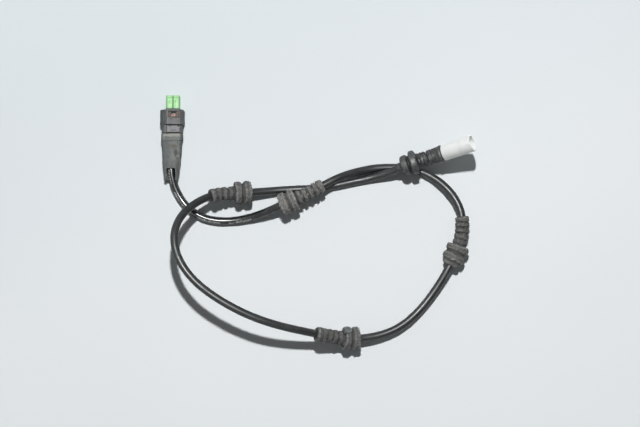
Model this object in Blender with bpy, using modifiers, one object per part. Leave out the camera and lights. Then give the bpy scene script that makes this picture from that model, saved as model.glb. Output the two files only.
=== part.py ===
"""Brake pad wear sensor: a sensing head with a green nose, a cable with five grommets, and a round plug.

The head lies along Y, nose towards +Y, with its underside at z = 0 and its middle at the origin. The
cable leaves the head's boot towards -Y, makes one open loop to the right and ends in the plug. Lengths
are in metres and angles in degrees.
"""
import math

import bmesh
import bpy
import numpy as np
from mathutils import Vector

# Clearance between pieces that touch
SEAT_GAP = 0.0003

# Sensing nose
NOSE_WIDTH = 0.0094
NOSE_HEIGHT = 0.0060
NOSE_REACH = 0.0100
NOSE_OFFSET = 0.0005
NOSE_WALL = 0.0011
NOSE_TIP_WALL = 0.0013
CELL_DIVIDER = 0.0012
FLANGE_LIP = 0.0008
FLANGE_THICKNESS = 0.0014
DIVIDER_GROOVE_WIDTH = 0.0006
DIVIDER_GROOVE_DEPTH = 0.0004

# Wear loops
LOOP_WIRE_DIAMETER = 0.0009
LOOP_LEG_SPACING = 0.0015

# Housing
HOUSING_WIDTH = 0.0164
HOUSING_HEIGHT = 0.0124
HOUSING_LENGTH = 0.0105
HOUSING_FOOT_CHAMFER = 0.0012
LEFT_FLANK_WIDTH = 0.0042
LEFT_FLANK_DROP = 0.0042
RIGHT_FLANK_WIDTH = 0.0024
RIGHT_FLANK_DROP = 0.0028
HOUSING_EDGE_ROUND = 0.0003
FRONT_WALL = 0.0026
ROOF_WALL = 0.0021
WINDOW_WIDTH = 0.0075
WINDOW_LENGTH = 0.0042
WINDOW_DEPTH = 0.0009
WINDOW_OFFSET = 0.0013
WINDOW_SETBACK = 0.0014
SLOT_WIDTH = 0.0036
SLOT_LENGTH = 0.0034
LOCK_LENGTH = 0.0020
LOCK_SINK = 0.0003

# Contact carrier, crimps and resistor
CRIMP_DIAMETER = 0.0022
CRIMP_LENGTH = 0.0042
CRIMP_SPREAD = 0.0028
RESISTOR_DIAMETER = 0.0015
RESISTOR_LENGTH = 0.0034
CORE_DIAMETER = 0.0018

# Rear collar and latch tongue
COLLAR_WIDTH = 0.0141
COLLAR_STEP = 0.0010
COLLAR_LENGTH = 0.0054
COLLAR_WALL = 0.0022
COLLAR_CHAMFER = 0.0024
TONGUE_WIDTH = 0.0088
TONGUE_THICKNESS = 0.0010
TONGUE_OFFSET = 0.0012
TONGUE_SIDE_GAP = 0.0004

# Head boot
BOOT_LENGTH = 0.0321
BOOT_LIP_LENGTH = 0.0047
BOOT_LIP_WIDTH = 0.0148
BOOT_FRONT_WIDTH = 0.0137
BOOT_MIDDLE_WIDTH = 0.0122
BOOT_END_WIDTH = 0.0096
BOOT_MIDDLE_HEIGHT = 0.0104
BOOT_END_HEIGHT = 0.0088
BOOT_SOLE = 0.0002
BOOT_SWEEP = 0.0004
BOOT_FRONT_CORNER = 0.0020
BOOT_END_CORNER = 0.0026
BOOT_STEP = 0.0005
BOOT_MIDDLE_SHARE = 0.62
POCKET_WIDTH = 0.0076
POCKET_HEIGHT = 0.0056
MOUTH_LENGTH = 0.0082

# Cable
CABLE_DIAMETER = 0.0052
CABLE_POINT_SPACING = 0.0102
BORE_GAP = 0.0003
BORE_RING_SPACING = 0.0040

# Grommets: distances along the cable from its end in the head
GROMMET_1_START = 0.1105
GROMMET_2_START = 0.2570
GROMMET_3_START = 0.3760
GROMMET_4_START = 0.5730
GROMMET_5_START = 0.7052
GROMMET_1_TAIL = 0.0201
GROMMET_2_TAIL = 0.0199
GROMMET_3_TAIL = 0.0196
GROMMET_4_TAIL = 0.0166
GROMMET_2_COLLAR = 0.0032
RING_RADIUS = 0.0080
GROOVE_RADIUS = 0.0068
GROOVE_WIDTH = 0.0016
FIRST_RING_WIDTH = 0.0048
SECOND_RING_WIDTH = 0.0050
RING_ROUND = 0.0009
COLLAR_RADIUS = 0.0061
TAIL_END_RADIUS = 0.0051
TAIL_END_LENGTH = 0.0036
RIB_RADIUS = 0.0050
RIB_VALLEY_RADIUS = 0.0043
RIB_PITCH = 0.0034
RIB_RISE = 0.35
RIB_FALL = 0.70
KNOB_RADIUS = 0.0027
KNOB_HEIGHT = 0.0014
KNOB_TILT = 35

# Black grommet and boot at the plug
SLEEVE_RADIUS = 0.0034
SLEEVE_LENGTH = 0.0043
SMALL_RING_RADIUS = 0.0070
SMALL_RING_WIDTH = 0.0044
WASHER_GROOVE_RADIUS = 0.0050
WASHER_GROOVE_WIDTH = 0.0010
BIG_RING_RADIUS = 0.0086
BIG_RING_WIDTH = 0.0044
NECK_RADIUS = 0.0046
PLUG_RIB_RADIUS = 0.0053
PLUG_TAIL_LENGTH = 0.0072
PLUG_BOOT_RADIUS = 0.0053
PLUG_BOOT_RIM_RADIUS = 0.0060
PLUG_BOOT_RIM_WIDTH = 0.0022
PLUG_BOOT_WAIST_SHARE = 0.35
PLUG_RIB_COUNT = 3

# Plug
PLUG_RADIUS = 0.0056
PLUG_LENGTH = 0.0215
PLUG_EDGE_ROUND = 0.0005
SOCKET_RADIUS = 0.0047
SOCKET_DEPTH = 0.0116
INSERT_RADIUS = 0.0036
INSERT_LENGTH = 0.0048
SEAL_LENGTH = 0.0038
SEAL_WALL = 0.0010
PIN_DIAMETER = 0.0012
PIN_SPREAD = 0.0017
PIN_REACH = 0.0044
NUB_SIZE = 0.0013
NUB_HEIGHT = 0.0007

# Roundness and fine steps
TURNED_STEPS = 16
FINE_STEPS = 24
PIN_SIDES = 12
BOW_STEPS = 8
CORE_STEPS = 8
CORNER_STEPS = 3
WIRE_BEVEL_STEPS = 2
CABLE_BEVEL_STEPS = 3
BORE_BEVEL_STEPS = 4
ROUTE_STEPS = 40
SMOOTH_ANGLE = 40
BEVEL_ANGLE = 35
EDGE_SHARE = 0.02
WELD_DISTANCE = 0.000001

# Lengths and levels that follow from the sizes above
HEAD_LENGTH = NOSE_REACH + HOUSING_LENGTH + COLLAR_LENGTH + BOOT_LENGTH + 2 * SEAT_GAP
NOSE_TIP_Y = HEAD_LENGTH / 2
HOUSING_FRONT_Y = NOSE_TIP_Y - NOSE_REACH
HOUSING_REAR_Y = HOUSING_FRONT_Y - HOUSING_LENGTH
COLLAR_FRONT_Y = HOUSING_REAR_Y - SEAT_GAP
COLLAR_REAR_Y = COLLAR_FRONT_Y - COLLAR_LENGTH
BOOT_FRONT_Y = COLLAR_REAR_Y - SEAT_GAP
BOOT_END_Y = BOOT_FRONT_Y - BOOT_LENGTH
FLANGE_FRONT_Y = HOUSING_FRONT_Y - FRONT_WALL - SEAT_GAP
NOSE_REAR_Y = FLANGE_FRONT_Y - FLANGE_THICKNESS
CARRIER_FRONT_Y = NOSE_REAR_Y - SEAT_GAP
CARRIER_REAR_Y = HOUSING_REAR_Y
RESISTOR_Y = CARRIER_FRONT_Y - RESISTOR_DIAMETER / 2 - SEAT_GAP
FLANGE_WIDTH = NOSE_WIDTH + 2 * FLANGE_LIP
FLANGE_HEIGHT = NOSE_HEIGHT + 2 * FLANGE_LIP
CAVITY_TOP_Z = HOUSING_HEIGHT - ROOF_WALL
NOSE_AXIS_Z = CAVITY_TOP_Z - SEAT_GAP - FLANGE_HEIGHT / 2
NOSE_UNDERSIDE = NOSE_AXIS_Z - NOSE_HEIGHT / 2
NOSE_TOP_Z = NOSE_AXIS_Z + NOSE_HEIGHT / 2
RESISTOR_Z = NOSE_AXIS_Z + CRIMP_DIAMETER / 2 + RESISTOR_DIAMETER / 2
COLLAR_HEIGHT = HOUSING_HEIGHT - COLLAR_STEP
BOOT_FRONT_HEIGHT = COLLAR_HEIGHT - BOOT_SOLE
CELL_WIDTH = (NOSE_WIDTH - 2 * NOSE_WALL - CELL_DIVIDER) / 2
CELL_OFFSET = (CELL_WIDTH + CELL_DIVIDER) / 2
CABLE_RADIUS = CABLE_DIAMETER / 2
BORE_RADIUS = CABLE_RADIUS + BORE_GAP
SEAL_BORE_LENGTH = SEAL_LENGTH + SEAT_GAP
CUT_OVERRUN = 0.002

# Numbers and sides of the pieces that come in pairs, the left one first
PAIR = ((1, -1), (2, 1))

# The cable's route, from its end inside the head's boot to its end inside the plug
ROUTE = [
    (-0.0005, -0.0095, 0.0056),
    (-0.0005, -0.0220, 0.0052),
    (0.0011, -0.0310, 0.0042),
    (0.0058, -0.0413, 0.0030),
    (0.0119, -0.0485, 0.0028),
    (0.0204, -0.0540, 0.0028),
    (0.0319, -0.0567, 0.0028),
    (0.0438, -0.0564, 0.0030),
    (0.0548, -0.0542, 0.0048),
    (0.0750, -0.0468, 0.0112),
    (0.0964, -0.0371, 0.0118),
    (0.1159, -0.0270, 0.0091),
    (0.1281, -0.0229, 0.0056),
    (0.1405, -0.0204, 0.0034),
    (0.1529, -0.0199, 0.0028),
    (0.1649, -0.0210, 0.0029),
    (0.1856, -0.0318, 0.0068),
    (0.1976, -0.0499, 0.0090),
    (0.1988, -0.0620, 0.0086),
    (0.1919, -0.0840, 0.0083),
    (0.1775, -0.1082, 0.0050),
    (0.1537, -0.1305, 0.0056),
    (0.1259, -0.1370, 0.0088),
    (0.0964, -0.1331, 0.0190),
    (0.0649, -0.1250, 0.0295),
    (0.0317, -0.1085, 0.0343),
    (0.0174, -0.0967, 0.0352),
    (0.0077, -0.0819, 0.0348),
    (0.0051, -0.0679, 0.0323),
    (0.0086, -0.0560, 0.0276),
    (0.0163, -0.0473, 0.0218),
    (0.0277, -0.0409, 0.0154),
    (0.0509, -0.0378, 0.0093),
    (0.0699, -0.0361, 0.0046),
    (0.0849, -0.0350, 0.0030),
    (0.1019, -0.0340, 0.0028),
    (0.1210, -0.0304, 0.0029),
    (0.1375, -0.0269, 0.0040),
    (0.1470, -0.0244, 0.0072),
    (0.1540, -0.0220, 0.0104),
    (0.1593, -0.0197, 0.0133),
    (0.1663, -0.0174, 0.0150),
    (0.1778, -0.0139, 0.0159),
    (0.1843, -0.0120, 0.0189),
    (0.1888, -0.0107, 0.0210),
]

# Floor of the pocket that holds the cores, midway between the cable's end and the crimps
POCKET_FLOOR_Z = (ROUTE[0][2] + NOSE_AXIS_Z) / 2 - POCKET_HEIGHT / 2


def clear_scene():
    """Removes whatever the scene holds."""
    for obj in list(bpy.data.objects):
        bpy.data.objects.remove(obj, do_unlink=True)


def new_collection(name):
    """Adds a collection to the scene."""
    collection = bpy.data.collections.new(name)
    bpy.context.scene.collection.children.link(collection)
    return collection


def plastic(name, colour, roughness, transmission=0.0):
    """Makes a plain non-metal material."""
    material = bpy.data.materials.new(name)
    material.use_nodes = True
    shader = material.node_tree.nodes["Principled BSDF"]
    shader.inputs["Base Color"].default_value = (*colour, 1.0)
    shader.inputs["Roughness"].default_value = roughness
    shader.inputs["Transmission Weight"].default_value = transmission
    material.diffuse_color = (*colour, 1.0)
    return material


def metal(name, colour, roughness):
    """Makes a plain metal material."""
    material = plastic(name, colour, roughness)
    material.node_tree.nodes["Principled BSDF"].inputs["Metallic"].default_value = 1.0
    material.metallic = 1.0
    return material


def add_object(name, data, collection, material=None):
    """Puts mesh or curve data into a collection, with its material."""
    obj = bpy.data.objects.new(name, data)
    collection.objects.link(obj)
    if material is not None:
        data.materials.append(material)
    return obj


def as_cutter(obj):
    """Hides a cutting body and draws it as wire."""
    obj.hide_render = True
    obj.display_type = "WIRE"
    return obj


def box(name, low, high, collection, material=None):
    """Makes a box between two corners, placed by its location."""
    low = Vector(low)
    high = Vector(high)
    mesh = bpy.data.meshes.new(name)
    work = bmesh.new()
    bmesh.ops.create_cube(work, size=1.0)
    bmesh.ops.scale(work, vec=high - low, verts=work.verts)
    work.to_mesh(mesh)
    work.free()
    obj = add_object(name, mesh, collection, material)
    obj.location = (low + high) / 2
    return obj


def rod(name, start, end, radius, collection, material=None, sides=TURNED_STEPS):
    """Makes a cylinder between two points, placed by its location and rotation."""
    start = Vector(start)
    end = Vector(end)
    mesh = bpy.data.meshes.new(name)
    work = bmesh.new()
    length = (end - start).length
    bmesh.ops.create_cone(work, cap_ends=True, segments=sides, radius1=radius, radius2=radius,
                          depth=length)
    work.to_mesh(mesh)
    work.free()
    mesh.shade_smooth()
    mesh.set_sharp_from_angle(angle=math.radians(SMOOTH_ANGLE))
    obj = add_object(name, mesh, collection, material)
    obj.location = (start + end) / 2
    obj.rotation_mode = "QUATERNION"
    obj.rotation_quaternion = (end - start).to_track_quat("Z", "Y")
    return obj


def tube(name, points, diameter, collection, material=None, steps=WIRE_BEVEL_STEPS):
    """Makes a wire or cable: a curve through the points with a round section and closed ends."""
    curve = bpy.data.curves.new(name, "CURVE")
    curve.dimensions = "3D"
    curve.bevel_depth = diameter / 2
    curve.bevel_resolution = steps
    curve.use_fill_caps = True
    spline = curve.splines.new("POLY")
    spline.points.add(len(points) - 1)
    for spot, point in zip(spline.points, points):
        spot.co = (*point, 1.0)
    spline.use_smooth = True
    return add_object(name, curve, collection, material)


def curve_to_mesh(obj, collection, material=None):
    """Turns a curve object into a closed mesh object of the same name and place."""
    name = obj.name
    placed = obj.matrix_world.copy()
    evaluated = obj.evaluated_get(bpy.context.evaluated_depsgraph_get())
    mesh = bpy.data.meshes.new_from_object(evaluated)
    work = bmesh.new()
    work.from_mesh(mesh)
    bmesh.ops.remove_doubles(work, verts=work.verts, dist=WELD_DISTANCE)
    work.to_mesh(mesh)
    work.free()
    bpy.data.objects.remove(obj, do_unlink=True)
    mesh.materials.clear()
    result = add_object(name, mesh, collection, material)
    result.name = name
    result.matrix_world = placed
    return result


def extruded_along_y(name, outline, front_y, rear_y, collection, material=None):
    """Makes a bar along Y from a flat outline of (x, z) points."""
    curve = bpy.data.curves.new(name, "CURVE")
    curve.dimensions = "2D"
    curve.fill_mode = "BOTH"
    curve.extrude = (front_y - rear_y) / 2
    spline = curve.splines.new("POLY")
    spline.points.add(len(outline) - 1)
    for spot, (x, z) in zip(spline.points, outline):
        spot.co = (x, z, 0.0, 1.0)
    spline.use_cyclic_u = True
    bar = add_object(name, curve, collection)
    bar.rotation_euler = (math.radians(90), 0, 0)
    bar.location = (0, (front_y + rear_y) / 2, 0)
    bpy.context.view_layer.update()
    return curve_to_mesh(bar, collection, material)


def turned(name, profile, collection, material=None, steps=TURNED_STEPS):
    """Turns a closed profile of (radius, height) points, outer side first from top to bottom, about Z."""
    mesh = bpy.data.meshes.new(name)
    work = bmesh.new()
    corners = [work.verts.new((radius, 0, height)) for radius, height in profile]
    for here, after in zip(corners, corners[1:] + corners[:1]):
        work.edges.new((here, after))
    work.to_mesh(mesh)
    work.free()
    obj = add_object(name, mesh, collection, material)
    screw = obj.modifiers.new("Turn", "SCREW")
    screw.axis = "Z"
    screw.steps = steps
    screw.render_steps = steps
    screw.use_merge_vertices = False
    screw.merge_threshold = WELD_DISTANCE
    screw.use_smooth_shade = True
    return obj


def follow_cable(obj, cable):
    """Bends a piece that stands on Z so that it runs along the cable."""
    bend = obj.modifiers.new("Follow cable", "CURVE")
    bend.object = cable
    bend.deform_axis = "POS_Z"


def cut(obj, cutter):
    """Takes a cutter's volume away."""
    boolean = obj.modifiers.new("Cut " + cutter.name, "BOOLEAN")
    boolean.operation = "DIFFERENCE"
    boolean.solver = "EXACT"
    boolean.object = cutter


def join(obj, addition):
    """Joins another body's volume on."""
    boolean = obj.modifiers.new("Join " + addition.name, "BOOLEAN")
    boolean.operation = "UNION"
    boolean.solver = "EXACT"
    boolean.object = addition


def round_edges(obj, width, segments=2):
    """Rounds the edges that turn sharply."""
    bevel = obj.modifiers.new("Round edges", "BEVEL")
    bevel.width = width
    bevel.segments = segments
    bevel.limit_method = "ANGLE"
    bevel.angle_limit = math.radians(BEVEL_ANGLE)


def smooth_route(points, spacing):
    """Reads evenly spaced points from a natural cubic spline through the route's points."""
    knots = np.array(points)
    chords = np.linalg.norm(np.diff(knots, axis=0), axis=1)
    travel = np.concatenate([[0.0], np.cumsum(chords)])
    count = len(knots)
    system = np.eye(count)
    target = np.zeros((count, 3))
    for i in range(1, count - 1):
        before = chords[i - 1]
        after = chords[i]
        system[i, i - 1:i + 2] = (before, 2 * (before + after), after)
        target[i] = 6 * ((knots[i + 1] - knots[i]) / after - (knots[i] - knots[i - 1]) / before)
    bends = np.linalg.solve(system, target)
    fine = []
    for i in range(count - 1):
        chord = chords[i]
        for t in np.linspace(0, chord, ROUTE_STEPS, endpoint=False):
            left = chord - t
            fine.append((bends[i] * left ** 3 + bends[i + 1] * t ** 3) / (6 * chord)
                        + (knots[i] / chord - bends[i] * chord / 6) * left
                        + (knots[i + 1] / chord - bends[i + 1] * chord / 6) * t)
    fine.append(knots[-1])
    fine = np.array(fine)
    steps = np.linalg.norm(np.diff(fine, axis=0), axis=1)
    distance = np.concatenate([[0.0], np.cumsum(steps)])
    stations = np.linspace(0, distance[-1], round(distance[-1] / spacing) + 1)
    return [Vector([float(np.interp(s, distance, fine[:, k])) for k in range(3)]) for s in stations]


def sleeve_profile(outline, start, end):
    """Closes an outline of (radius, distance) points with a bore that the cable fills."""
    rings = max(2, math.ceil((end - start) / BORE_RING_SPACING) + 1)
    bore = [(BORE_RADIUS, start + (end - start) * i / (rings - 1)) for i in range(rings)]
    outer = sorted(outline, key=lambda point: -point[1])
    return outer + bore


def grommet_outline(tail, collar):
    """Gives a grommet's outer side from the end of its tail to its face, as (radius, distance) points."""
    points = [
        (TAIL_END_RADIUS - RING_ROUND, 0),
        (TAIL_END_RADIUS, RING_ROUND / 2),
        (TAIL_END_RADIUS, TAIL_END_LENGTH - RING_ROUND),
        (RIB_VALLEY_RADIUS, TAIL_END_LENGTH),
    ]
    ribs = max(1, int((tail - TAIL_END_LENGTH) / RIB_PITCH))
    pitch = (tail - TAIL_END_LENGTH) / ribs
    for i in range(ribs):
        foot = TAIL_END_LENGTH + i * pitch
        points.append((RIB_RADIUS, foot + pitch * RIB_RISE))
        points.append((RIB_RADIUS, foot + pitch * RIB_FALL))
        points.append((RIB_VALLEY_RADIUS, foot + pitch * (1 - EDGE_SHARE)))
    points += ring_outline(tail, RING_RADIUS, FIRST_RING_WIDTH)
    groove = tail + FIRST_RING_WIDTH
    points.append((GROOVE_RADIUS, groove + GROOVE_WIDTH * EDGE_SHARE))
    points.append((GROOVE_RADIUS, groove + GROOVE_WIDTH * (1 - EDGE_SHARE)))
    second = groove + GROOVE_WIDTH
    points += ring_outline(second, RING_RADIUS, SECOND_RING_WIDTH)
    face = second + SECOND_RING_WIDTH
    if collar > 0:
        points.append((COLLAR_RADIUS, face + collar * EDGE_SHARE))
        points.append((COLLAR_RADIUS, face + collar - RING_ROUND))
        points.append((COLLAR_RADIUS - RING_ROUND, face + collar))
    return points, face + collar


def ring_outline(start, radius, width):
    """Gives the four corners of a ring with rounded shoulders."""
    return [
        (radius - RING_ROUND, start),
        (radius, start + RING_ROUND),
        (radius, start + width - RING_ROUND),
        (radius - RING_ROUND, start + width),
    ]


def place_along(points, length, start, tail_first):
    """Moves an outline to its place along the cable, tail first or face first."""
    if tail_first:
        return [(radius, start + distance) for radius, distance in points]
    return [(radius, start + length - distance) for radius, distance in points]


def make_grommet(name, start, tail, tail_first, cable, collection, material, collar=0.0):
    """Makes a ribbed rubber grommet on the cable."""
    points, length = grommet_outline(tail, collar)
    outline = place_along(points, length, start, tail_first)
    grommet = turned(name, sleeve_profile(outline, start, start + length), collection, material)
    follow_cable(grommet, cable)
    return grommet


def point_at(points, distance):
    """Finds the place and direction at a distance along a row of points."""
    left = distance
    for here, after in zip(points, points[1:]):
        step = (after - here).length
        if left <= step:
            break
        left -= step
    direction = (after - here).normalized()
    return here + direction * left, direction


def make_knob(grommet, points, cutters, material):
    """Raises a round knob on the upper side of a grommet's first ring."""
    middle = GROMMET_3_START + SECOND_RING_WIDTH + GROOVE_WIDTH + FIRST_RING_WIDTH / 2
    place, direction = point_at(points, middle)
    across = direction.cross(Vector((0, 0, 1))).normalized()
    tilt = math.radians(KNOB_TILT)
    upward = Vector((0, 0, 1)) * math.cos(tilt) + across * math.sin(tilt)
    upward = (upward - direction * upward.dot(direction)).normalized()
    foot = place + upward * GROOVE_RADIUS
    top = place + upward * (RING_RADIUS + KNOB_HEIGHT)
    knob = as_cutter(rod("knob_body", foot, top, KNOB_RADIUS, cutters, material))
    join(grommet, knob)


def housing_outline():
    """Gives the housing's section, with a wide flank on the left and a narrow one on the right."""
    half = HOUSING_WIDTH / 2
    foot = HOUSING_FOOT_CHAMFER
    return [
        (-half + foot, 0),
        (half - foot, 0),
        (half, foot),
        (half, HOUSING_HEIGHT - RIGHT_FLANK_DROP),
        (half - RIGHT_FLANK_WIDTH, HOUSING_HEIGHT),
        (-half + LEFT_FLANK_WIDTH, HOUSING_HEIGHT),
        (-half, HOUSING_HEIGHT - LEFT_FLANK_DROP),
        (-half, foot),
    ]


def make_housing(collection, cutters, material):
    """Makes the black clip housing with its cavity, nose opening, window and slot."""
    housing = extruded_along_y("head_housing", housing_outline(), HOUSING_FRONT_Y, HOUSING_REAR_Y,
                               collection, material)
    round_edges(housing, HOUSING_EDGE_ROUND, 1)
    gap = SEAT_GAP
    cavity = box("cavity_cutter",
                 (NOSE_OFFSET - FLANGE_WIDTH / 2 - gap, HOUSING_REAR_Y - CUT_OVERRUN,
                  NOSE_AXIS_Z - FLANGE_HEIGHT / 2 - gap),
                 (NOSE_OFFSET + FLANGE_WIDTH / 2 + gap, HOUSING_FRONT_Y - FRONT_WALL, CAVITY_TOP_Z), cutters)
    opening = box("nose_opening_cutter",
                  (NOSE_OFFSET - NOSE_WIDTH / 2 - gap, HOUSING_REAR_Y, NOSE_UNDERSIDE - gap),
                  (NOSE_OFFSET + NOSE_WIDTH / 2 + gap, HOUSING_FRONT_Y + CUT_OVERRUN, NOSE_TOP_Z + gap),
                  cutters)
    window_front = HOUSING_FRONT_Y - WINDOW_SETBACK
    window = box("window_cutter",
                 (WINDOW_OFFSET - WINDOW_WIDTH / 2, window_front - WINDOW_LENGTH,
                  HOUSING_HEIGHT - WINDOW_DEPTH),
                 (WINDOW_OFFSET + WINDOW_WIDTH / 2, window_front, HOUSING_HEIGHT + CUT_OVERRUN), cutters)
    slot_middle = window_front - WINDOW_LENGTH / 2
    slot = box("slot_cutter",
               (WINDOW_OFFSET - SLOT_WIDTH / 2, slot_middle - SLOT_LENGTH / 2, NOSE_AXIS_Z),
               (WINDOW_OFFSET + SLOT_WIDTH / 2, slot_middle + SLOT_LENGTH / 2, HOUSING_HEIGHT), cutters)
    for cutter in (cavity, opening, window, slot):
        cut(housing, as_cutter(cutter))
    return slot_middle - SLOT_LENGTH / 2


def make_lock_insert(slot_rear, collection, material):
    """Makes the red insert that fills the rear of the slot, down to the pieces in the cavity."""
    half = SLOT_WIDTH / 2 - SEAT_GAP
    box("lock_insert",
        (WINDOW_OFFSET - half, slot_rear + SEAT_GAP, CAVITY_TOP_Z),
        (WINDOW_OFFSET + half, slot_rear + SEAT_GAP + LOCK_LENGTH, HOUSING_HEIGHT - WINDOW_DEPTH - LOCK_SINK),
        collection, material)


def make_nose(collection, cutters, material):
    """Makes the green nose with its flange, two open cells and the groove between them."""
    half = NOSE_WIDTH / 2
    nose = box("sensing_nose", (NOSE_OFFSET - half, NOSE_REAR_Y, NOSE_UNDERSIDE),
               (NOSE_OFFSET + half, NOSE_TIP_Y, NOSE_TOP_Z), collection, material)
    flange = box("flange_body",
                 (NOSE_OFFSET - FLANGE_WIDTH / 2, NOSE_REAR_Y, NOSE_AXIS_Z - FLANGE_HEIGHT / 2),
                 (NOSE_OFFSET + FLANGE_WIDTH / 2, FLANGE_FRONT_Y, NOSE_AXIS_Z + FLANGE_HEIGHT / 2), cutters)
    round_edges(nose, HOUSING_EDGE_ROUND)
    join(nose, as_cutter(flange))
    for number, side in PAIR:
        middle = NOSE_OFFSET + side * CELL_OFFSET
        cell = box(f"cell_cutter_{number}",
                   (middle - CELL_WIDTH / 2, NOSE_REAR_Y - CUT_OVERRUN, NOSE_UNDERSIDE + NOSE_WALL),
                   (middle + CELL_WIDTH / 2, NOSE_TIP_Y - NOSE_TIP_WALL, NOSE_TOP_Z - NOSE_WALL), cutters)
        cut(nose, as_cutter(cell))
    groove = box("divider_groove_cutter",
                 (NOSE_OFFSET - DIVIDER_GROOVE_WIDTH / 2, HOUSING_FRONT_Y + SEAT_GAP,
                  NOSE_TOP_Z - DIVIDER_GROOVE_DEPTH),
                 (NOSE_OFFSET + DIVIDER_GROOVE_WIDTH / 2, NOSE_TIP_Y + CUT_OVERRUN, NOSE_TOP_Z + CUT_OVERRUN),
                 cutters)
    cut(nose, as_cutter(groove))


def make_wear_loops(collection, material):
    """Bends one wire in each cell: two legs and a half circle near the tip."""
    reach = NOSE_TIP_Y - NOSE_TIP_WALL - SEAT_GAP - LOOP_WIRE_DIAMETER / 2
    radius = LOOP_LEG_SPACING / 2
    legs_end = CARRIER_FRONT_Y + SEAT_GAP
    for number, side in PAIR:
        middle = NOSE_OFFSET + side * CELL_OFFSET
        points = [(middle - radius, legs_end, NOSE_AXIS_Z)]
        for i in range(BOW_STEPS + 1):
            angle = math.pi * i / BOW_STEPS
            points.append((middle - radius * math.cos(angle), reach - radius + radius * math.sin(angle),
                           NOSE_AXIS_Z))
        points.append((middle + radius, legs_end, NOSE_AXIS_Z))
        tube(f"wear_loop_{number}", points, LOOP_WIRE_DIAMETER, collection, material)


def make_carrier(collection, cutters, material):
    """Makes the block in the housing with its two crimp channels and the resistor's pocket."""
    carrier = box("contact_carrier",
                  (NOSE_OFFSET - FLANGE_WIDTH / 2, CARRIER_REAR_Y, NOSE_AXIS_Z - FLANGE_HEIGHT / 2),
                  (NOSE_OFFSET + FLANGE_WIDTH / 2, CARRIER_FRONT_Y, NOSE_AXIS_Z + FLANGE_HEIGHT / 2),
                  collection, material)
    for number, side in PAIR:
        middle = NOSE_OFFSET + side * CRIMP_SPREAD
        channel = rod(f"channel_cutter_{number}",
                      (middle, CARRIER_REAR_Y - CUT_OVERRUN, NOSE_AXIS_Z),
                      (middle, CARRIER_FRONT_Y + CUT_OVERRUN, NOSE_AXIS_Z),
                      CRIMP_DIAMETER / 2 + SEAT_GAP, cutters)
        cut(carrier, as_cutter(channel))
    half_length = RESISTOR_LENGTH / 2 + SEAT_GAP
    half_height = RESISTOR_DIAMETER / 2 + SEAT_GAP
    pocket = box("pocket_cutter",
                 (NOSE_OFFSET - half_length, RESISTOR_Y - half_height, RESISTOR_Z - half_height),
                 (NOSE_OFFSET + half_length, CARRIER_FRONT_Y + CUT_OVERRUN, RESISTOR_Z + half_height),
                 cutters)
    cut(carrier, as_cutter(pocket))


def make_electrics(cable_end, collection, metal_finish, core_finish, resistor_finish):
    """Makes the resistor, the two crimp ferrules and the two cores that reach them from the cable's end."""
    rod("stage_resistor", (NOSE_OFFSET - RESISTOR_LENGTH / 2, RESISTOR_Y, RESISTOR_Z),
        (NOSE_OFFSET + RESISTOR_LENGTH / 2, RESISTOR_Y, RESISTOR_Z), RESISTOR_DIAMETER / 2,
        collection, resistor_finish)
    front = CARRIER_FRONT_Y - SEAT_GAP
    rear = front - CRIMP_LENGTH
    for number, side in PAIR:
        middle = NOSE_OFFSET + side * CRIMP_SPREAD
        rod(f"crimp_ferrule_{number}", (middle, rear, NOSE_AXIS_Z), (middle, front, NOSE_AXIS_Z),
            CRIMP_DIAMETER / 2, collection, metal_finish)
        core_start = cable_end + Vector((side * (CORE_DIAMETER / 2 + SEAT_GAP), SEAT_GAP, 0))
        core_run = Vector((middle, rear - SEAT_GAP, NOSE_AXIS_Z)) - core_start
        points = []
        for i in range(CORE_STEPS + 1):
            share = i / CORE_STEPS
            ease = share * share * (3 - 2 * share)
            points.append(core_start + Vector((core_run.x * ease, core_run.y * share, core_run.z * ease)))
        tube(f"core_wire_{number}", points, CORE_DIAMETER, collection, core_finish)


def make_collar(collection, cutters, material):
    """Makes the narrower step behind the housing and the latch tongue let into its top."""
    half = COLLAR_WIDTH / 2
    top = COLLAR_HEIGHT
    outline = [
        (-half, BOOT_SOLE),
        (half, BOOT_SOLE),
        (half, top - COLLAR_CHAMFER),
        (half - COLLAR_CHAMFER, top),
        (-half + COLLAR_CHAMFER, top),
        (-half, top - COLLAR_CHAMFER),
    ]
    collar = extruded_along_y("rear_collar", outline, COLLAR_FRONT_Y, COLLAR_REAR_Y, collection, material)
    round_edges(collar, HOUSING_EDGE_ROUND, 1)
    rear = COLLAR_REAR_Y - CUT_OVERRUN
    front = COLLAR_FRONT_Y + CUT_OVERRUN
    bore = box("collar_bore_cutter",
               (-half + COLLAR_WALL, rear, POCKET_FLOOR_Z),
               (half - COLLAR_WALL, front, POCKET_FLOOR_Z + POCKET_HEIGHT), cutters)
    tongue_half = TONGUE_WIDTH / 2
    seat_half = tongue_half + TONGUE_SIDE_GAP
    seat = box("tongue_seat_cutter",
               (TONGUE_OFFSET - seat_half, rear, top - TONGUE_THICKNESS),
               (TONGUE_OFFSET + seat_half, front, top + CUT_OVERRUN), cutters)
    cut(collar, as_cutter(bore))
    cut(collar, as_cutter(seat))
    tongue_foot = top - TONGUE_THICKNESS + SEAT_GAP
    tongue = box("latch_tongue",
                 (TONGUE_OFFSET - tongue_half, COLLAR_REAR_Y + TONGUE_SIDE_GAP, tongue_foot),
                 (TONGUE_OFFSET + tongue_half, COLLAR_FRONT_Y - TONGUE_SIDE_GAP, top + SEAT_GAP),
                 collection, material)
    round_edges(tongue, HOUSING_EDGE_ROUND, 1)


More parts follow.
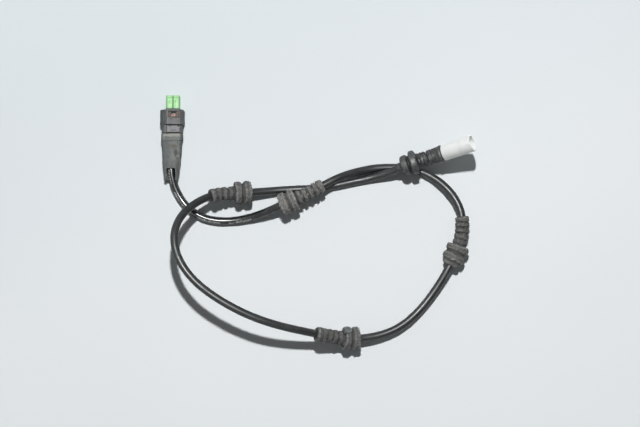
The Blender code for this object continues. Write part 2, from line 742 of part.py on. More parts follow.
def rounded_section(y, width, height, middle_x, corner):
    """Gives one ring of a boot: a rectangle with round corners, standing on the sole."""
    ring = []
    for quarter, (side, level) in enumerate(((1, 1), (-1, 1), (-1, 0), (1, 0))):
        centre_x = middle_x + side * (width / 2 - corner)
        centre_z = BOOT_SOLE + (height - corner if level else corner)
        for i in range(CORNER_STEPS + 1):
            angle = math.pi / 2 * (quarter + i / CORNER_STEPS)
            ring.append((centre_x + corner * math.cos(angle), y, centre_z + corner * math.sin(angle)))
    return ring


def make_head_boot(cable_points, collection, cutters, material):
    """Lofts the tapered rubber boot and cuts its pocket, its bore along the cable and its open mouth."""
    lip_end = BOOT_FRONT_Y - BOOT_LIP_LENGTH
    middle_y = BOOT_FRONT_Y - BOOT_LENGTH * BOOT_MIDDLE_SHARE
    step = BOOT_STEP
    sweep = BOOT_SWEEP
    sections = [
        rounded_section(BOOT_FRONT_Y, BOOT_LIP_WIDTH, BOOT_FRONT_HEIGHT, 0, BOOT_FRONT_CORNER),
        rounded_section(lip_end, BOOT_LIP_WIDTH, BOOT_FRONT_HEIGHT, 0, BOOT_FRONT_CORNER),
        rounded_section(lip_end - step, BOOT_FRONT_WIDTH, BOOT_FRONT_HEIGHT - step, 0, BOOT_FRONT_CORNER),
        rounded_section(middle_y, BOOT_MIDDLE_WIDTH, BOOT_MIDDLE_HEIGHT, -sweep / 2, BOOT_END_CORNER),
        rounded_section(BOOT_END_Y + step, BOOT_END_WIDTH, BOOT_END_HEIGHT, -sweep, BOOT_END_CORNER),
        rounded_section(BOOT_END_Y, BOOT_END_WIDTH - step, BOOT_END_HEIGHT - step, -sweep, BOOT_END_CORNER),
    ]
    mesh = bpy.data.meshes.new("head_boot")
    work = bmesh.new()
    rings = [[work.verts.new(point) for point in section] for section in sections]
    for ring, following in zip(rings, rings[1:]):
        for i in range(len(ring)):
            j = (i + 1) % len(ring)
            work.faces.new((ring[i], ring[j], following[j], following[i]))
    work.faces.new(list(reversed(rings[0])))
    work.faces.new(rings[-1])
    bmesh.ops.recalc_face_normals(work, faces=work.faces)
    work.to_mesh(mesh)
    work.free()
    mesh.shade_smooth()
    mesh.set_sharp_from_angle(angle=math.radians(SMOOTH_ANGLE))
    boot = add_object("head_boot", mesh, collection, material)
    inner_end = cable_points[0].y
    pocket_half = POCKET_WIDTH / 2
    pocket = box("boot_pocket_cutter",
                 (-pocket_half, inner_end - SEAT_GAP, POCKET_FLOOR_Z),
                 (pocket_half, BOOT_FRONT_Y + CUT_OVERRUN, POCKET_FLOOR_Z + POCKET_HEIGHT), cutters)
    cut(boot, as_cutter(pocket))
    in_boot = math.ceil((inner_end - BOOT_END_Y) / CABLE_POINT_SPACING) + 2
    bore = tube("boot_bore_guide", cable_points[:in_boot], BORE_RADIUS * 2, cutters, None, BORE_BEVEL_STEPS)
    bpy.context.view_layer.update()
    cut(boot, as_cutter(curve_to_mesh(bore, cutters)))
    mouth_start = BOOT_END_Y + MOUTH_LENGTH
    mouth_z = point_at(cable_points, cable_points[0].y - mouth_start)[0].z
    mouth = box("mouth_cutter",
                (-BOOT_SWEEP - BORE_RADIUS, BOOT_END_Y - CUT_OVERRUN, mouth_z),
                (-BOOT_SWEEP + BORE_RADIUS, mouth_start, BOOT_FRONT_HEIGHT + CUT_OVERRUN), cutters)
    cut(boot, as_cutter(mouth))


def make_plug_grommet(cable, collection, material):
    """Makes the black grommet beside the plug: sleeve, small ring, big ring and a ribbed tail."""
    start = GROMMET_5_START
    small = SLEEVE_LENGTH
    groove = small + SMALL_RING_WIDTH
    big = groove + WASHER_GROOVE_WIDTH
    tail = big + BIG_RING_WIDTH
    end = tail + PLUG_TAIL_LENGTH
    points = [(SLEEVE_RADIUS, 0), (SLEEVE_RADIUS, small * (1 - EDGE_SHARE))]
    points += ring_outline(small, SMALL_RING_RADIUS, SMALL_RING_WIDTH)
    points.append((WASHER_GROOVE_RADIUS, groove + WASHER_GROOVE_WIDTH * EDGE_SHARE))
    points.append((WASHER_GROOVE_RADIUS, groove + WASHER_GROOVE_WIDTH * (1 - EDGE_SHARE)))
    points += ring_outline(big, BIG_RING_RADIUS, BIG_RING_WIDTH)
    pitch = PLUG_TAIL_LENGTH / PLUG_RIB_COUNT
    points.append((NECK_RADIUS, tail + pitch * EDGE_SHARE))
    for i in range(PLUG_RIB_COUNT):
        foot = tail + i * pitch
        points.append((PLUG_RIB_RADIUS, foot + pitch * RIB_RISE))
        points.append((PLUG_RIB_RADIUS, foot + pitch * RIB_FALL))
        points.append((NECK_RADIUS, foot + pitch))
    outline = place_along(points, end, start, True)
    grommet = turned("grommet_5", sleeve_profile(outline, start, start + end), collection, material)
    follow_cable(grommet, cable)
    return start + end


def make_plug_boot(start, end, cable, collection, material):
    """Makes the flaring rubber boot that covers the back of the plug."""
    length = end - start
    points = [
        (NECK_RADIUS, 0),
        (PLUG_BOOT_RADIUS, RING_ROUND),
        (PLUG_BOOT_RADIUS, length * PLUG_BOOT_WAIST_SHARE),
        (PLUG_RADIUS, length - PLUG_BOOT_RIM_WIDTH),
        (PLUG_BOOT_RIM_RADIUS, length - PLUG_BOOT_RIM_WIDTH * (1 - EDGE_SHARE)),
        (PLUG_BOOT_RIM_RADIUS, length - RING_ROUND / 2),
        (PLUG_BOOT_RIM_RADIUS - RING_ROUND / 2, length),
    ]
    outline = place_along(points, length, start, True)
    boot = turned("plug_boot", sleeve_profile(outline, start, end), collection, material)
    follow_cable(boot, cable)


def stand_on_axis(obj, origin, axis):
    """Turns a piece that stands on Z to lie along the plug's axis."""
    obj.location = origin
    obj.rotation_mode = "QUATERNION"
    obj.rotation_quaternion = axis.to_track_quat("Z", "Y")


def make_plug(rear, axis, collection, cutters, finishes):
    """Makes the white shell with its socket, and the insert, pins and seal inside it."""
    seal_end = SEAL_BORE_LENGTH
    socket_floor = PLUG_LENGTH - SOCKET_DEPTH
    insert_bore = INSERT_RADIUS + SEAT_GAP
    seal_bore = BORE_RADIUS + SEAL_WALL + SEAT_GAP
    edge = PLUG_EDGE_ROUND
    shell = turned("plug_shell", [
        (SOCKET_RADIUS + edge / 2, PLUG_LENGTH),
        (PLUG_RADIUS - edge / 2, PLUG_LENGTH),
        (PLUG_RADIUS, PLUG_LENGTH - edge),
        (PLUG_RADIUS, edge),
        (PLUG_RADIUS - edge, 0),
        (seal_bore, 0),
        (seal_bore, seal_end),
        (insert_bore, seal_end),
        (insert_bore, socket_floor),
        (SOCKET_RADIUS, socket_floor),
        (SOCKET_RADIUS, PLUG_LENGTH - edge / 2),
    ], collection, finishes["white"], FINE_STEPS)
    stand_on_axis(shell, rear, axis)
    nub_middle = Vector((0, PLUG_RADIUS, PLUG_LENGTH - NUB_SIZE))
    nub_corner = Vector((NUB_SIZE / 2, NUB_HEIGHT, NUB_SIZE / 2))
    turn = axis.to_track_quat("Z", "Y")
    nub = box("nub_body", -nub_corner, nub_corner, cutters)
    stand_on_axis(nub, rear + turn @ nub_middle, axis)
    join(shell, as_cutter(nub))
    seal = turned("wire_seal", [
        (BORE_RADIUS + SEAL_WALL, SEAL_LENGTH),
        (BORE_RADIUS + SEAL_WALL, 0),
        (BORE_RADIUS, 0),
        (BORE_RADIUS, SEAL_LENGTH),
    ], collection, finishes["seal"])
    stand_on_axis(seal, rear, axis)
    insert_start = seal_end + SEAT_GAP
    insert_end = insert_start + INSERT_LENGTH
    insert = rod("plug_insert", rear + axis * insert_start, rear + axis * insert_end, INSERT_RADIUS,
                 collection, finishes["white"], FINE_STEPS)
    across = turn @ Vector((1, 0, 0))
    for number, side in PAIR:
        foot = rear + across * (side * PIN_SPREAD)
        hole = rod(f"pin_hole_cutter_{number}", foot + axis * (insert_start - CUT_OVERRUN),
                   foot + axis * (insert_end + CUT_OVERRUN), PIN_DIAMETER / 2 + SEAT_GAP, cutters,
                   sides=PIN_SIDES)
        cut(insert, as_cutter(hole))
        rod(f"contact_pin_{number}", foot + axis * insert_start, foot + axis * (socket_floor + PIN_REACH),
            PIN_DIAMETER / 2, collection, finishes["pin"], PIN_SIDES)


def main():
    """Builds the whole sensor lead."""
    clear_scene()
    parts = new_collection("brake pad wear sensor")
    cutters = new_collection("cutters")
    green = plastic("clear green plastic", (0.36, 0.85, 0.33), 0.25, 0.5)
    black = plastic("black moulded plastic", (0.055, 0.060, 0.062), 0.55)
    red = plastic("red plastic", (0.48, 0.09, 0.04), 0.5)
    dusty = plastic("dusty grey rubber", (0.13, 0.13, 0.12), 0.85)
    dark = plastic("black rubber", (0.030, 0.032, 0.033), 0.7)
    jacket = plastic("black cable jacket", (0.022, 0.024, 0.025), 0.3)
    core = plastic("core insulation", (0.35, 0.16, 0.05), 0.45)
    white = plastic("white translucent plastic", (0.82, 0.84, 0.83), 0.35, 0.1)
    brown = plastic("resistor body", (0.30, 0.20, 0.10), 0.5)
    copper = metal("copper wire", (0.72, 0.36, 0.20), 0.35)
    brass = metal("tinned brass", (0.70, 0.62, 0.42), 0.3)

    cable_points = smooth_route(ROUTE, CABLE_POINT_SPACING)
    cable = tube("cable", cable_points, CABLE_DIAMETER, parts, jacket, CABLE_BEVEL_STEPS)

    slot_rear = make_housing(parts, cutters, black)
    make_lock_insert(slot_rear, parts, red)
    make_nose(parts, cutters, green)
    make_wear_loops(parts, copper)
    make_carrier(parts, cutters, black)
    make_electrics(cable_points[0], parts, brass, core, brown)
    make_collar(parts, cutters, black)
    make_head_boot(cable_points, parts, cutters, dusty)

    make_grommet("grommet_1", GROMMET_1_START, GROMMET_1_TAIL, False, cable, parts, dusty)
    make_grommet("grommet_2", GROMMET_2_START, GROMMET_2_TAIL, True, cable, parts, dusty, GROMMET_2_COLLAR)
    third = make_grommet("grommet_3", GROMMET_3_START, GROMMET_3_TAIL, False, cable, parts, dusty)
    make_knob(third, cable_points, cutters, dusty)
    make_grommet("grommet_4", GROMMET_4_START, GROMMET_4_TAIL, True, cable, parts, dusty)

    axis = (cable_points[-1] - cable_points[-2]).normalized()
    cable_end = cable_points[-1]
    plug_rear = cable_end - axis * SEAL_BORE_LENGTH
    cable_length = sum((b - a).length for a, b in zip(cable_points, cable_points[1:]))
    tail_end = make_plug_grommet(cable, parts, dark)
    make_plug_boot(tail_end + SEAT_GAP, cable_length - SEAL_BORE_LENGTH - SEAT_GAP, cable, parts, dark)
    make_plug(plug_rear, axis, parts, cutters, {"white": white, "seal": dusty, "pin": brass})


main()
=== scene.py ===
"""The dressed brake pad wear sensor: head, cable, grommets and plug on a pale table.

The file is laid out as an add-on. Property groups hold the sizes and colours, one operator makes each
piece or group of like pieces, and a panel in the 3D view's sidebar lists them. Run as a script, it makes
everything in order. Lengths are in metres.
"""

import math

import bmesh
import bpy
import numpy as np
from bpy.props import FloatProperty, FloatVectorProperty, IntProperty, PointerProperty
from mathutils import Matrix, Vector


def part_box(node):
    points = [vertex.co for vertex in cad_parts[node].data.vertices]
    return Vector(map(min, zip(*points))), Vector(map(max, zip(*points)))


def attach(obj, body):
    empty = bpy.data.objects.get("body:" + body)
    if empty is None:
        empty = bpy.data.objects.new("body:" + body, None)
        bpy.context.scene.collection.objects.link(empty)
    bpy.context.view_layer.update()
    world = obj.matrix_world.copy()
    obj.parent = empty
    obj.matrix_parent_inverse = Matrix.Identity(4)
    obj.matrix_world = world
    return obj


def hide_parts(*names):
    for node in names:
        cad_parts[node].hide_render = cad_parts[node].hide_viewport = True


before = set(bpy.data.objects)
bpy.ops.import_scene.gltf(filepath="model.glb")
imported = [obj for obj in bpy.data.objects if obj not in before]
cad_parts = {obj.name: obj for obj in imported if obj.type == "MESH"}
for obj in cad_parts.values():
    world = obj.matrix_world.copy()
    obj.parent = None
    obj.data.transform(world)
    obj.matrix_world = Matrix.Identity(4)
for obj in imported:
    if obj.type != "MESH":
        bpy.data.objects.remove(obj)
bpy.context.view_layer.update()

bl_info = {
    "name": "Brake pad wear sensor",
    "version": (1, 0, 0),
    "blender": (4, 5, 0),
    "location": "3D View > Sidebar > Wear sensor",
    "description": "Dresses the sensor head, its cable, grommets and plug",
    "category": "Object",
}

BODY = "root"
MM = 0.001
# Points closer than this are one point, in a mesh and at a sleeve's seams
WELD = 0.000001
SEAM = 0.000004

# The cable's route, from its end inside the head's boot to its end inside the plug
ROUTE = [
    (-0.0005, -0.0095, 0.0056),
    (-0.0005, -0.0220, 0.0052),
    (0.0011, -0.0310, 0.0042),
    (0.0058, -0.0413, 0.0030),
    (0.0119, -0.0485, 0.0028),
    (0.0204, -0.0540, 0.0028),
    (0.0319, -0.0567, 0.0028),
    (0.0438, -0.0564, 0.0030),
    (0.0548, -0.0542, 0.0048),
    (0.0750, -0.0468, 0.0112),
    (0.0964, -0.0371, 0.0118),
    (0.1159, -0.0270, 0.0091),
    (0.1281, -0.0229, 0.0056),
    (0.1405, -0.0204, 0.0034),
    (0.1529, -0.0199, 0.0028),
    (0.1649, -0.0210, 0.0029),
    (0.1856, -0.0318, 0.0068),
    (0.1976, -0.0499, 0.0090),
    (0.1988, -0.0620, 0.0086),
    (0.1919, -0.0840, 0.0083),
    (0.1775, -0.1082, 0.0050),
    (0.1537, -0.1305, 0.0056),
    (0.1259, -0.1370, 0.0088),
    (0.0964, -0.1331, 0.0190),
    (0.0649, -0.1250, 0.0295),
    (0.0317, -0.1085, 0.0343),
    (0.0174, -0.0967, 0.0352),
    (0.0077, -0.0819, 0.0348),
    (0.0051, -0.0679, 0.0323),
    (0.0086, -0.0560, 0.0276),
    (0.0163, -0.0473, 0.0218),
    (0.0277, -0.0409, 0.0154),
    (0.0509, -0.0378, 0.0093),
    (0.0699, -0.0361, 0.0046),
    (0.0849, -0.0350, 0.0030),
    (0.1019, -0.0340, 0.0028),
    (0.1210, -0.0304, 0.0029),
    (0.1375, -0.0269, 0.0040),
    (0.1470, -0.0244, 0.0072),
    (0.1540, -0.0220, 0.0104),
    (0.1593, -0.0197, 0.0133),
    (0.1663, -0.0174, 0.0150),
    (0.1778, -0.0139, 0.0159),
    (0.1843, -0.0120, 0.0189),
    (0.1888, -0.0107, 0.0210),
]
ROUTE_STEPS = 40
CAD_POINT_SPACING = 0.0102

# Grommets: distance of the first end along the cable, tail length, which end comes first, collar
# length, seed of the surface's unevenness
GROMMETS = {
    "grommet_1": {"start": 0.1105, "tail": 0.0201, "tail_first": False, "collar": 0.0, "seed": 3.0},
    "grommet_2": {"start": 0.2570, "tail": 0.0199, "tail_first": True, "collar": 0.0032, "seed": 11.0},
    "grommet_3": {"start": 0.3760, "tail": 0.0196, "tail_first": False, "collar": 0.0, "seed": 19.0},
    "grommet_4": {"start": 0.5730, "tail": 0.0166, "tail_first": True, "collar": 0.0, "seed": 27.0},
}
PLUG_GROMMET_START = 0.7052
SEAL_LENGTH = 0.0038
SEAT_GAP = 0.0003


# Properties

def length_setting(name, description, default):
    """Gives a length property in metres."""
    return FloatProperty(name=name, description=description, default=default, unit="LENGTH", precision=5)


def colour_setting(name, description, default):
    """Gives a colour property."""
    return FloatVectorProperty(name=name, description=description, default=default, subtype="COLOR")


class CableSizes(bpy.types.PropertyGroup):
    """Sizes and colours of the jacketed cable."""

    diameter: length_setting("Diameter", "Outer diameter of the jacket", 0.0052)
    ring_spacing: length_setting("Ring spacing", "Distance between the mesh rings", 0.001)
    sides: IntProperty(name="Sides", description="Faces round the jacket", default=48)
    print_start: length_setting("Print start", "Where the worn print begins along the cable", 0.012)
    print_end: length_setting("Print end", "Where the worn print ends along the cable", 0.088)
    print_angle: FloatProperty(name="Print angle", description="Where the print lies, from the top",
                               default=math.radians(38), subtype="ANGLE")
    mark_pitch: length_setting("Mark pitch", "Distance between the marks of the print", 0.00095)
    mark_height: length_setting("Mark height", "Half the height of the lowest marks", 0.00045)
    mark_height_spread: length_setting("Mark height spread", "What the highest marks add to that", 0.0004)
    word_pitch: length_setting("Word pitch", "Length of a group of marks or of a gap", 0.0055)
    glossy_end: length_setting("Glossy end", "Where the clean glossy stretch by the head ends", 0.125)
    glossy_fade: length_setting("Glossy fade", "How gradually the gloss ends", 0.015)
    jacket_colour: colour_setting("Jacket", "Colour of the clean jacket", (0.009, 0.0105, 0.011))
    haze_colour: colour_setting("Haze", "Colour of the thin dust on the jacket", (0.038, 0.044, 0.044))
    print_colour: colour_setting("Print", "Colour of the dashes", (0.62, 0.63, 0.62))


class GrommetSizes(bpy.types.PropertyGroup):
    """Sizes and colours of the ribbed grommets."""

    ring_radius: length_setting("Ring radius", "Outer radius of the two rings", 0.0080)
    first_ring: length_setting("First ring", "Width of the ring beside the tail", 0.0048)
    second_ring: length_setting("Second ring", "Width of the ring at the face", 0.0050)
    groove_radius: length_setting("Groove radius", "Radius at the bottom of the groove", 0.0066)
    groove_width: length_setting("Groove width", "Width of the groove that takes the bracket", 0.0016)
    tail_radius: length_setting("Tail end radius", "Radius of the band at the tail's end", 0.0051)
    tail_band: length_setting("Tail end band", "Length of the band at the tail's end", 0.0036)
    rib_radius: length_setting("Rib radius", "Radius of the ribs", 0.0050)
    rib_depth: length_setting("Rib depth", "Depth of the hollows between the ribs", 0.0011)
    rib_pitch: length_setting("Rib pitch", "Distance between ribs", 0.0034)
    collar_radius: length_setting("Collar radius", "Radius of the collar at the face", 0.0061)
    bore_radius: length_setting("Bore radius", "Radius of the hole for the cable", 0.0027)
    softness: length_setting("Edge softness", "How far edges are rounded", 0.0008)
    step: length_setting("Step", "Distance between the mesh rings", 0.0002)
    sides: IntProperty(name="Sides", description="Faces round each grommet", default=84)
    dent_depth: length_setting("Dent depth", "Height of the uneven wear", 0.00065)
    dent_size: length_setting("Dent size", "Width of the uneven wear", 0.0036)
    grain_depth: length_setting("Grain depth", "Height of the rough skin", 0.00034)
    grain_size: length_setting("Grain size", "Width of the rough skin's lumps", 0.0010)
    knob_radius: length_setting("Knob radius", "Radius of the round knob on the third grommet", 0.0027)
    knob_height: length_setting("Knob height", "How far the knob stands out of its ring", 0.0014)
    knob_tilt: FloatProperty(name="Knob tilt", description="How far the knob leans from straight up",
                             default=math.radians(43), subtype="ANGLE")


class PlugRubberSizes(bpy.types.PropertyGroup):
    """Sizes of the black grommet and the boot beside the plug."""

    sleeve_radius: length_setting("Sleeve radius", "Radius of the thin sleeve", 0.0034)
    sleeve_length: length_setting("Sleeve length", "Length of the thin sleeve", 0.0043)
    small_ring_radius: length_setting("Small ring radius", "Radius of the small ring", 0.0070)
    small_ring: length_setting("Small ring", "Width of the small ring", 0.0044)
    groove_radius: length_setting("Groove radius", "Radius of the groove between the rings", 0.0050)
    groove_width: length_setting("Groove width", "Width of the groove between the rings", 0.0010)
    big_ring_radius: length_setting("Big ring radius", "Radius of the big ring", 0.0083)
    big_ring: length_setting("Big ring", "Width of the big ring", 0.0044)
    tail: length_setting("Tail", "Length of the ribbed tail", 0.0072)
    rib_radius: length_setting("Rib radius", "Radius of the tail's ribs", 0.0053)
    rib_depth: length_setting("Rib depth", "Depth of the hollows between the ribs", 0.0005)
    boot_radius: length_setting("Boot radius", "Radius of the boot near its start", 0.0053)
    rim_radius: length_setting("Rim radius", "Radius of the boot's rim", 0.00595)
    rim_width: length_setting("Rim width", "Width of the boot's rim", 0.0022)
    wear_depth: length_setting("Wear depth", "Height of the uneven wear", 0.00022)


class PlugSizes(bpy.types.PropertyGroup):
    """Sizes and colour of the white plug."""

    radius: length_setting("Radius", "Outer radius of the shell", 0.0056)
    length: length_setting("Length", "Length of the shell", 0.0215)
    edge: length_setting("Edge", "Rounding of the shell's edges", 0.0006)
    socket_radius: length_setting("Socket radius", "Radius of the socket", 0.0047)
    socket_depth: length_setting("Socket depth", "Depth of the socket", 0.0116)
    insert_radius: length_setting("Insert bore", "Radius of the bore behind the socket", 0.0039)
    seal_radius: length_setting("Seal bore", "Radius of the bore round the seal", 0.0042)
    band_start: length_setting("Band start", "Where the shallow band begins", 0.0122)
    band_width: length_setting("Band width", "Width of the shallow band", 0.0020)
    band_depth: length_setting("Band depth", "Depth of the shallow band", 0.00016)
    nub: length_setting("Nub", "Width of the small nub on the rim", 0.0013)
    nub_height: length_setting("Nub height", "Height of the nub over the shell", 0.0007)
    sides: IntProperty(name="Sides", description="Faces round the shell", default=96)
    colour: colour_setting("White", "Colour of the plug", (0.80, 0.815, 0.80))


class HeadSettings(bpy.types.PropertyGroup):
    """Mesh fineness and colours of the head."""

    nose_cell: length_setting("Nose cell", "Mesh size of the nose", 0.00016)
    clip_cell: length_setting("Clip cell", "Mesh size of the housing, collar and tongue", 0.00018)
    boot_cell: length_setting("Boot cell", "Mesh size of the boot", 0.00026)
    nose_colour: colour_setting("Nose", "Colour of the nose's walls", (0.30, 0.62, 0.30))
    cell_colour: colour_setting("Cells", "Colour of the two bright cells", (0.50, 0.93, 0.44))
    housing_colour: colour_setting("Housing", "Colour of the clean housing", (0.050, 0.057, 0.057))
    housing_dust: colour_setting("Housing dust", "Colour of the dust on the housing", (0.150, 0.153, 0.150))
    boot_colour: colour_setting("Boot", "Colour of the clean boot", (0.056, 0.064, 0.067))
    boot_dust: colour_setting("Boot dust", "Colour of the dust on the boot", (0.185, 0.192, 0.178))


class StageSettings(bpy.types.PropertyGroup):
    """Table, lamps, room and camera."""

    floor_radius: length_setting("Table size", "Radius of the table top", 2.5)
    floor_colour: colour_setting("Table", "Colour of the table", (0.79, 0.82, 0.835))
    # Painted shade: the table's darker colour beyond the head.
    far_shade_colour: colour_setting("Table's far side", "Colour of the painted shade on the table beyond the head",
                               (0.715, 0.765, 0.795))
    key_power: FloatProperty(name="Key power", description="Power of the main lamp in watts", default=37.5)
    key_place: FloatVectorProperty(name="Key place", description="Place of the main lamp",
                                   default=(0.105, 0.27, 0.85), unit="LENGTH")
    key_radius: length_setting("Key size", "Radius of the main lamp", 0.023)
    glint_power: FloatProperty(name="Glint power", description="Power of the lamp seen only in gloss",
                               default=75.0)
    glint_place: FloatVectorProperty(name="Glint place", description="Place of the lamp seen only in gloss",
                                     default=(0.03, 0.058, 0.85), unit="LENGTH")
    glint_radius: length_setting("Glint size", "Radius of the lamp seen only in gloss", 0.04)
    fill_strength: FloatProperty(name="Fill strength", description="Strength of the light from all sides",
                                 default=0.13)
    gloss_strength: FloatProperty(name="Gloss strength", description="Brightness of the room in gloss",
                                  default=0.22)
    window_strength: FloatProperty(name="Window strength",
                                   description="Brightness of the room's open side in gloss", default=0.9)
    strip_strength: FloatProperty(name="Strip strength",
                                  description="Brightness of the far low strip in gloss", default=4.0)
    strip_height: FloatProperty(name="Strip height", description="Height of the strip, as a part of upright",
                                default=0.34)
    strip_width: FloatProperty(name="Strip width", description="Width of the strip, as a part of upright",
                               default=0.1)
    room_strength: FloatProperty(name="Room strength", description="Brightness of the room to the lens",
                                 default=0.9)
    camera_target: FloatVectorProperty(name="Camera target", description="Point on the table in mid view",
                                       default=(0.1017, -0.0515, 0.0), unit="LENGTH")
    camera_distance: length_setting("Camera distance", "From the target to the lens", 0.85867)
    camera_elevation: FloatProperty(name="Camera elevation",
                                    description="Height of the view above the horizon",
                                    default=math.radians(86), subtype="ANGLE")
    lens: FloatProperty(name="Lens", description="Focal length in millimetres", default=70.0)


# Node graphs

class Graph:
    """A node tree with short ways to add nodes, links and sockets."""

    def __init__(self, tree):
        self.tree = tree

    @classmethod
    def group(cls, name, kind, inputs, outputs):
        """Starts a node group with named sockets: inputs are (name, socket type, default)."""
        tree = bpy.data.node_groups.new(name, kind)
        for title, socket, value in inputs:
            made = tree.interface.new_socket(name=title, in_out="INPUT", socket_type=socket)
            if value is not None:
                made.default_value = value
        for title, socket in outputs:
            tree.interface.new_socket(name=title, in_out="OUTPUT", socket_type=socket)
        graph = cls(tree)
        graph.start = tree.nodes.new("NodeGroupInput").outputs
        graph.end = tree.nodes.new("NodeGroupOutput").inputs
        return graph

    def feed(self, target, value):
        """Links a socket to an input, or sets a plain value on it."""
        if isinstance(value, bpy.types.NodeSocket):
            self.tree.links.new(value, target)
        else:
            target.default_value = value

    def node(self, kind, inputs=None, **settings):
        """Adds a node with its settings and inputs."""
        made = self.tree.nodes.new(kind)
        for name, value in settings.items():
            setattr(made, name, value)
        for key, value in (inputs or {}).items():
            self.feed(made.inputs[key], value)
        return made

    def math(self, operation, *values, clamp=False):
        """Adds a Math node and gives its result."""
        made = self.node("ShaderNodeMath", dict(enumerate(values)), operation=operation, use_clamp=clamp)
        return made.outputs[0]

    def times(self, first, second):
        """Multiplies two numbers."""
        return self.math("MULTIPLY", first, second)

    def plus(self, first, second):
        """Adds two numbers."""
        return self.math("ADD", first, second)

    def minus(self, first, second):
        """Takes one number from another."""
        return self.math("SUBTRACT", first, second)

    def spot(self):
        """Reads the place on the piece, in its own Object coordinates."""
        return self.node("ShaderNodeTexCoord").outputs["Object"]

    def parts(self, vector):
        """Splits a vector and gives its X, Y and Z."""
        return self.node("ShaderNodeSeparateXYZ", {0: vector}).outputs

    def attribute(self, name, output="Fac"):
        """Reads one of a mesh's own attributes."""
        return self.node("ShaderNodeAttribute", attribute_name=name).outputs[output]

    def vector(self, operation, *values):
        """Adds a Vector Math node and gives its vector."""
        made = self.node("ShaderNodeVectorMath", dict(enumerate(values)), operation=operation)
        return made.outputs[0]

    def scaled(self, vector, factor):
        """Gives a vector times a number."""
        made = self.node("ShaderNodeVectorMath", {"Vector": vector, "Scale": factor}, operation="SCALE")
        return made.outputs[0]

    def noise(self, vector, scale, detail=2.0, roughness=0.5, distortion=0.0):
        """Adds a noise texture and gives its factor."""
        made = self.node("ShaderNodeTexNoise", {"Vector": vector, "Scale": scale, "Detail": detail,
                                                "Roughness": roughness, "Distortion": distortion})
        return made.outputs[0]

    def ramp(self, value, low, high, out_low=0.0, out_high=1.0):
        """Maps a value smoothly from one range to another."""
        made = self.node("ShaderNodeMapRange", {"Value": value, "From Min": low, "From Max": high,
                                                "To Min": out_low, "To Max": out_high},
                         interpolation_type="SMOOTHSTEP")
        return made.outputs[0]

    def colours(self, factor, first, second):
        """Mixes two colours."""
        made = self.node("ShaderNodeMix", {0: factor, 6: rgba(first), 7: rgba(second)}, data_type="RGBA")
        return made.outputs[2]

    def combined(self, factor, first, second):
        """Mixes two numbers."""
        made = self.node("ShaderNodeMix", {0: factor, 2: first, 3: second}, data_type="FLOAT")
        return made.outputs[0]

    def place(self, name, **values):
        """Puts a node group in this tree with its own values."""
        made = self.tree.nodes.new("ShaderNodeGroup")
        made.node_tree = bpy.data.node_groups[name]
        for key, value in values.items():
            self.feed(made.inputs[key.replace("_", " ").capitalize()], value)
        return made.outputs


def rgba(colour):
    """Gives a colour its fourth number, or passes a socket on."""
    if isinstance(colour, bpy.types.NodeSocket):
        return colour
    return (*colour[:3], 1.0)


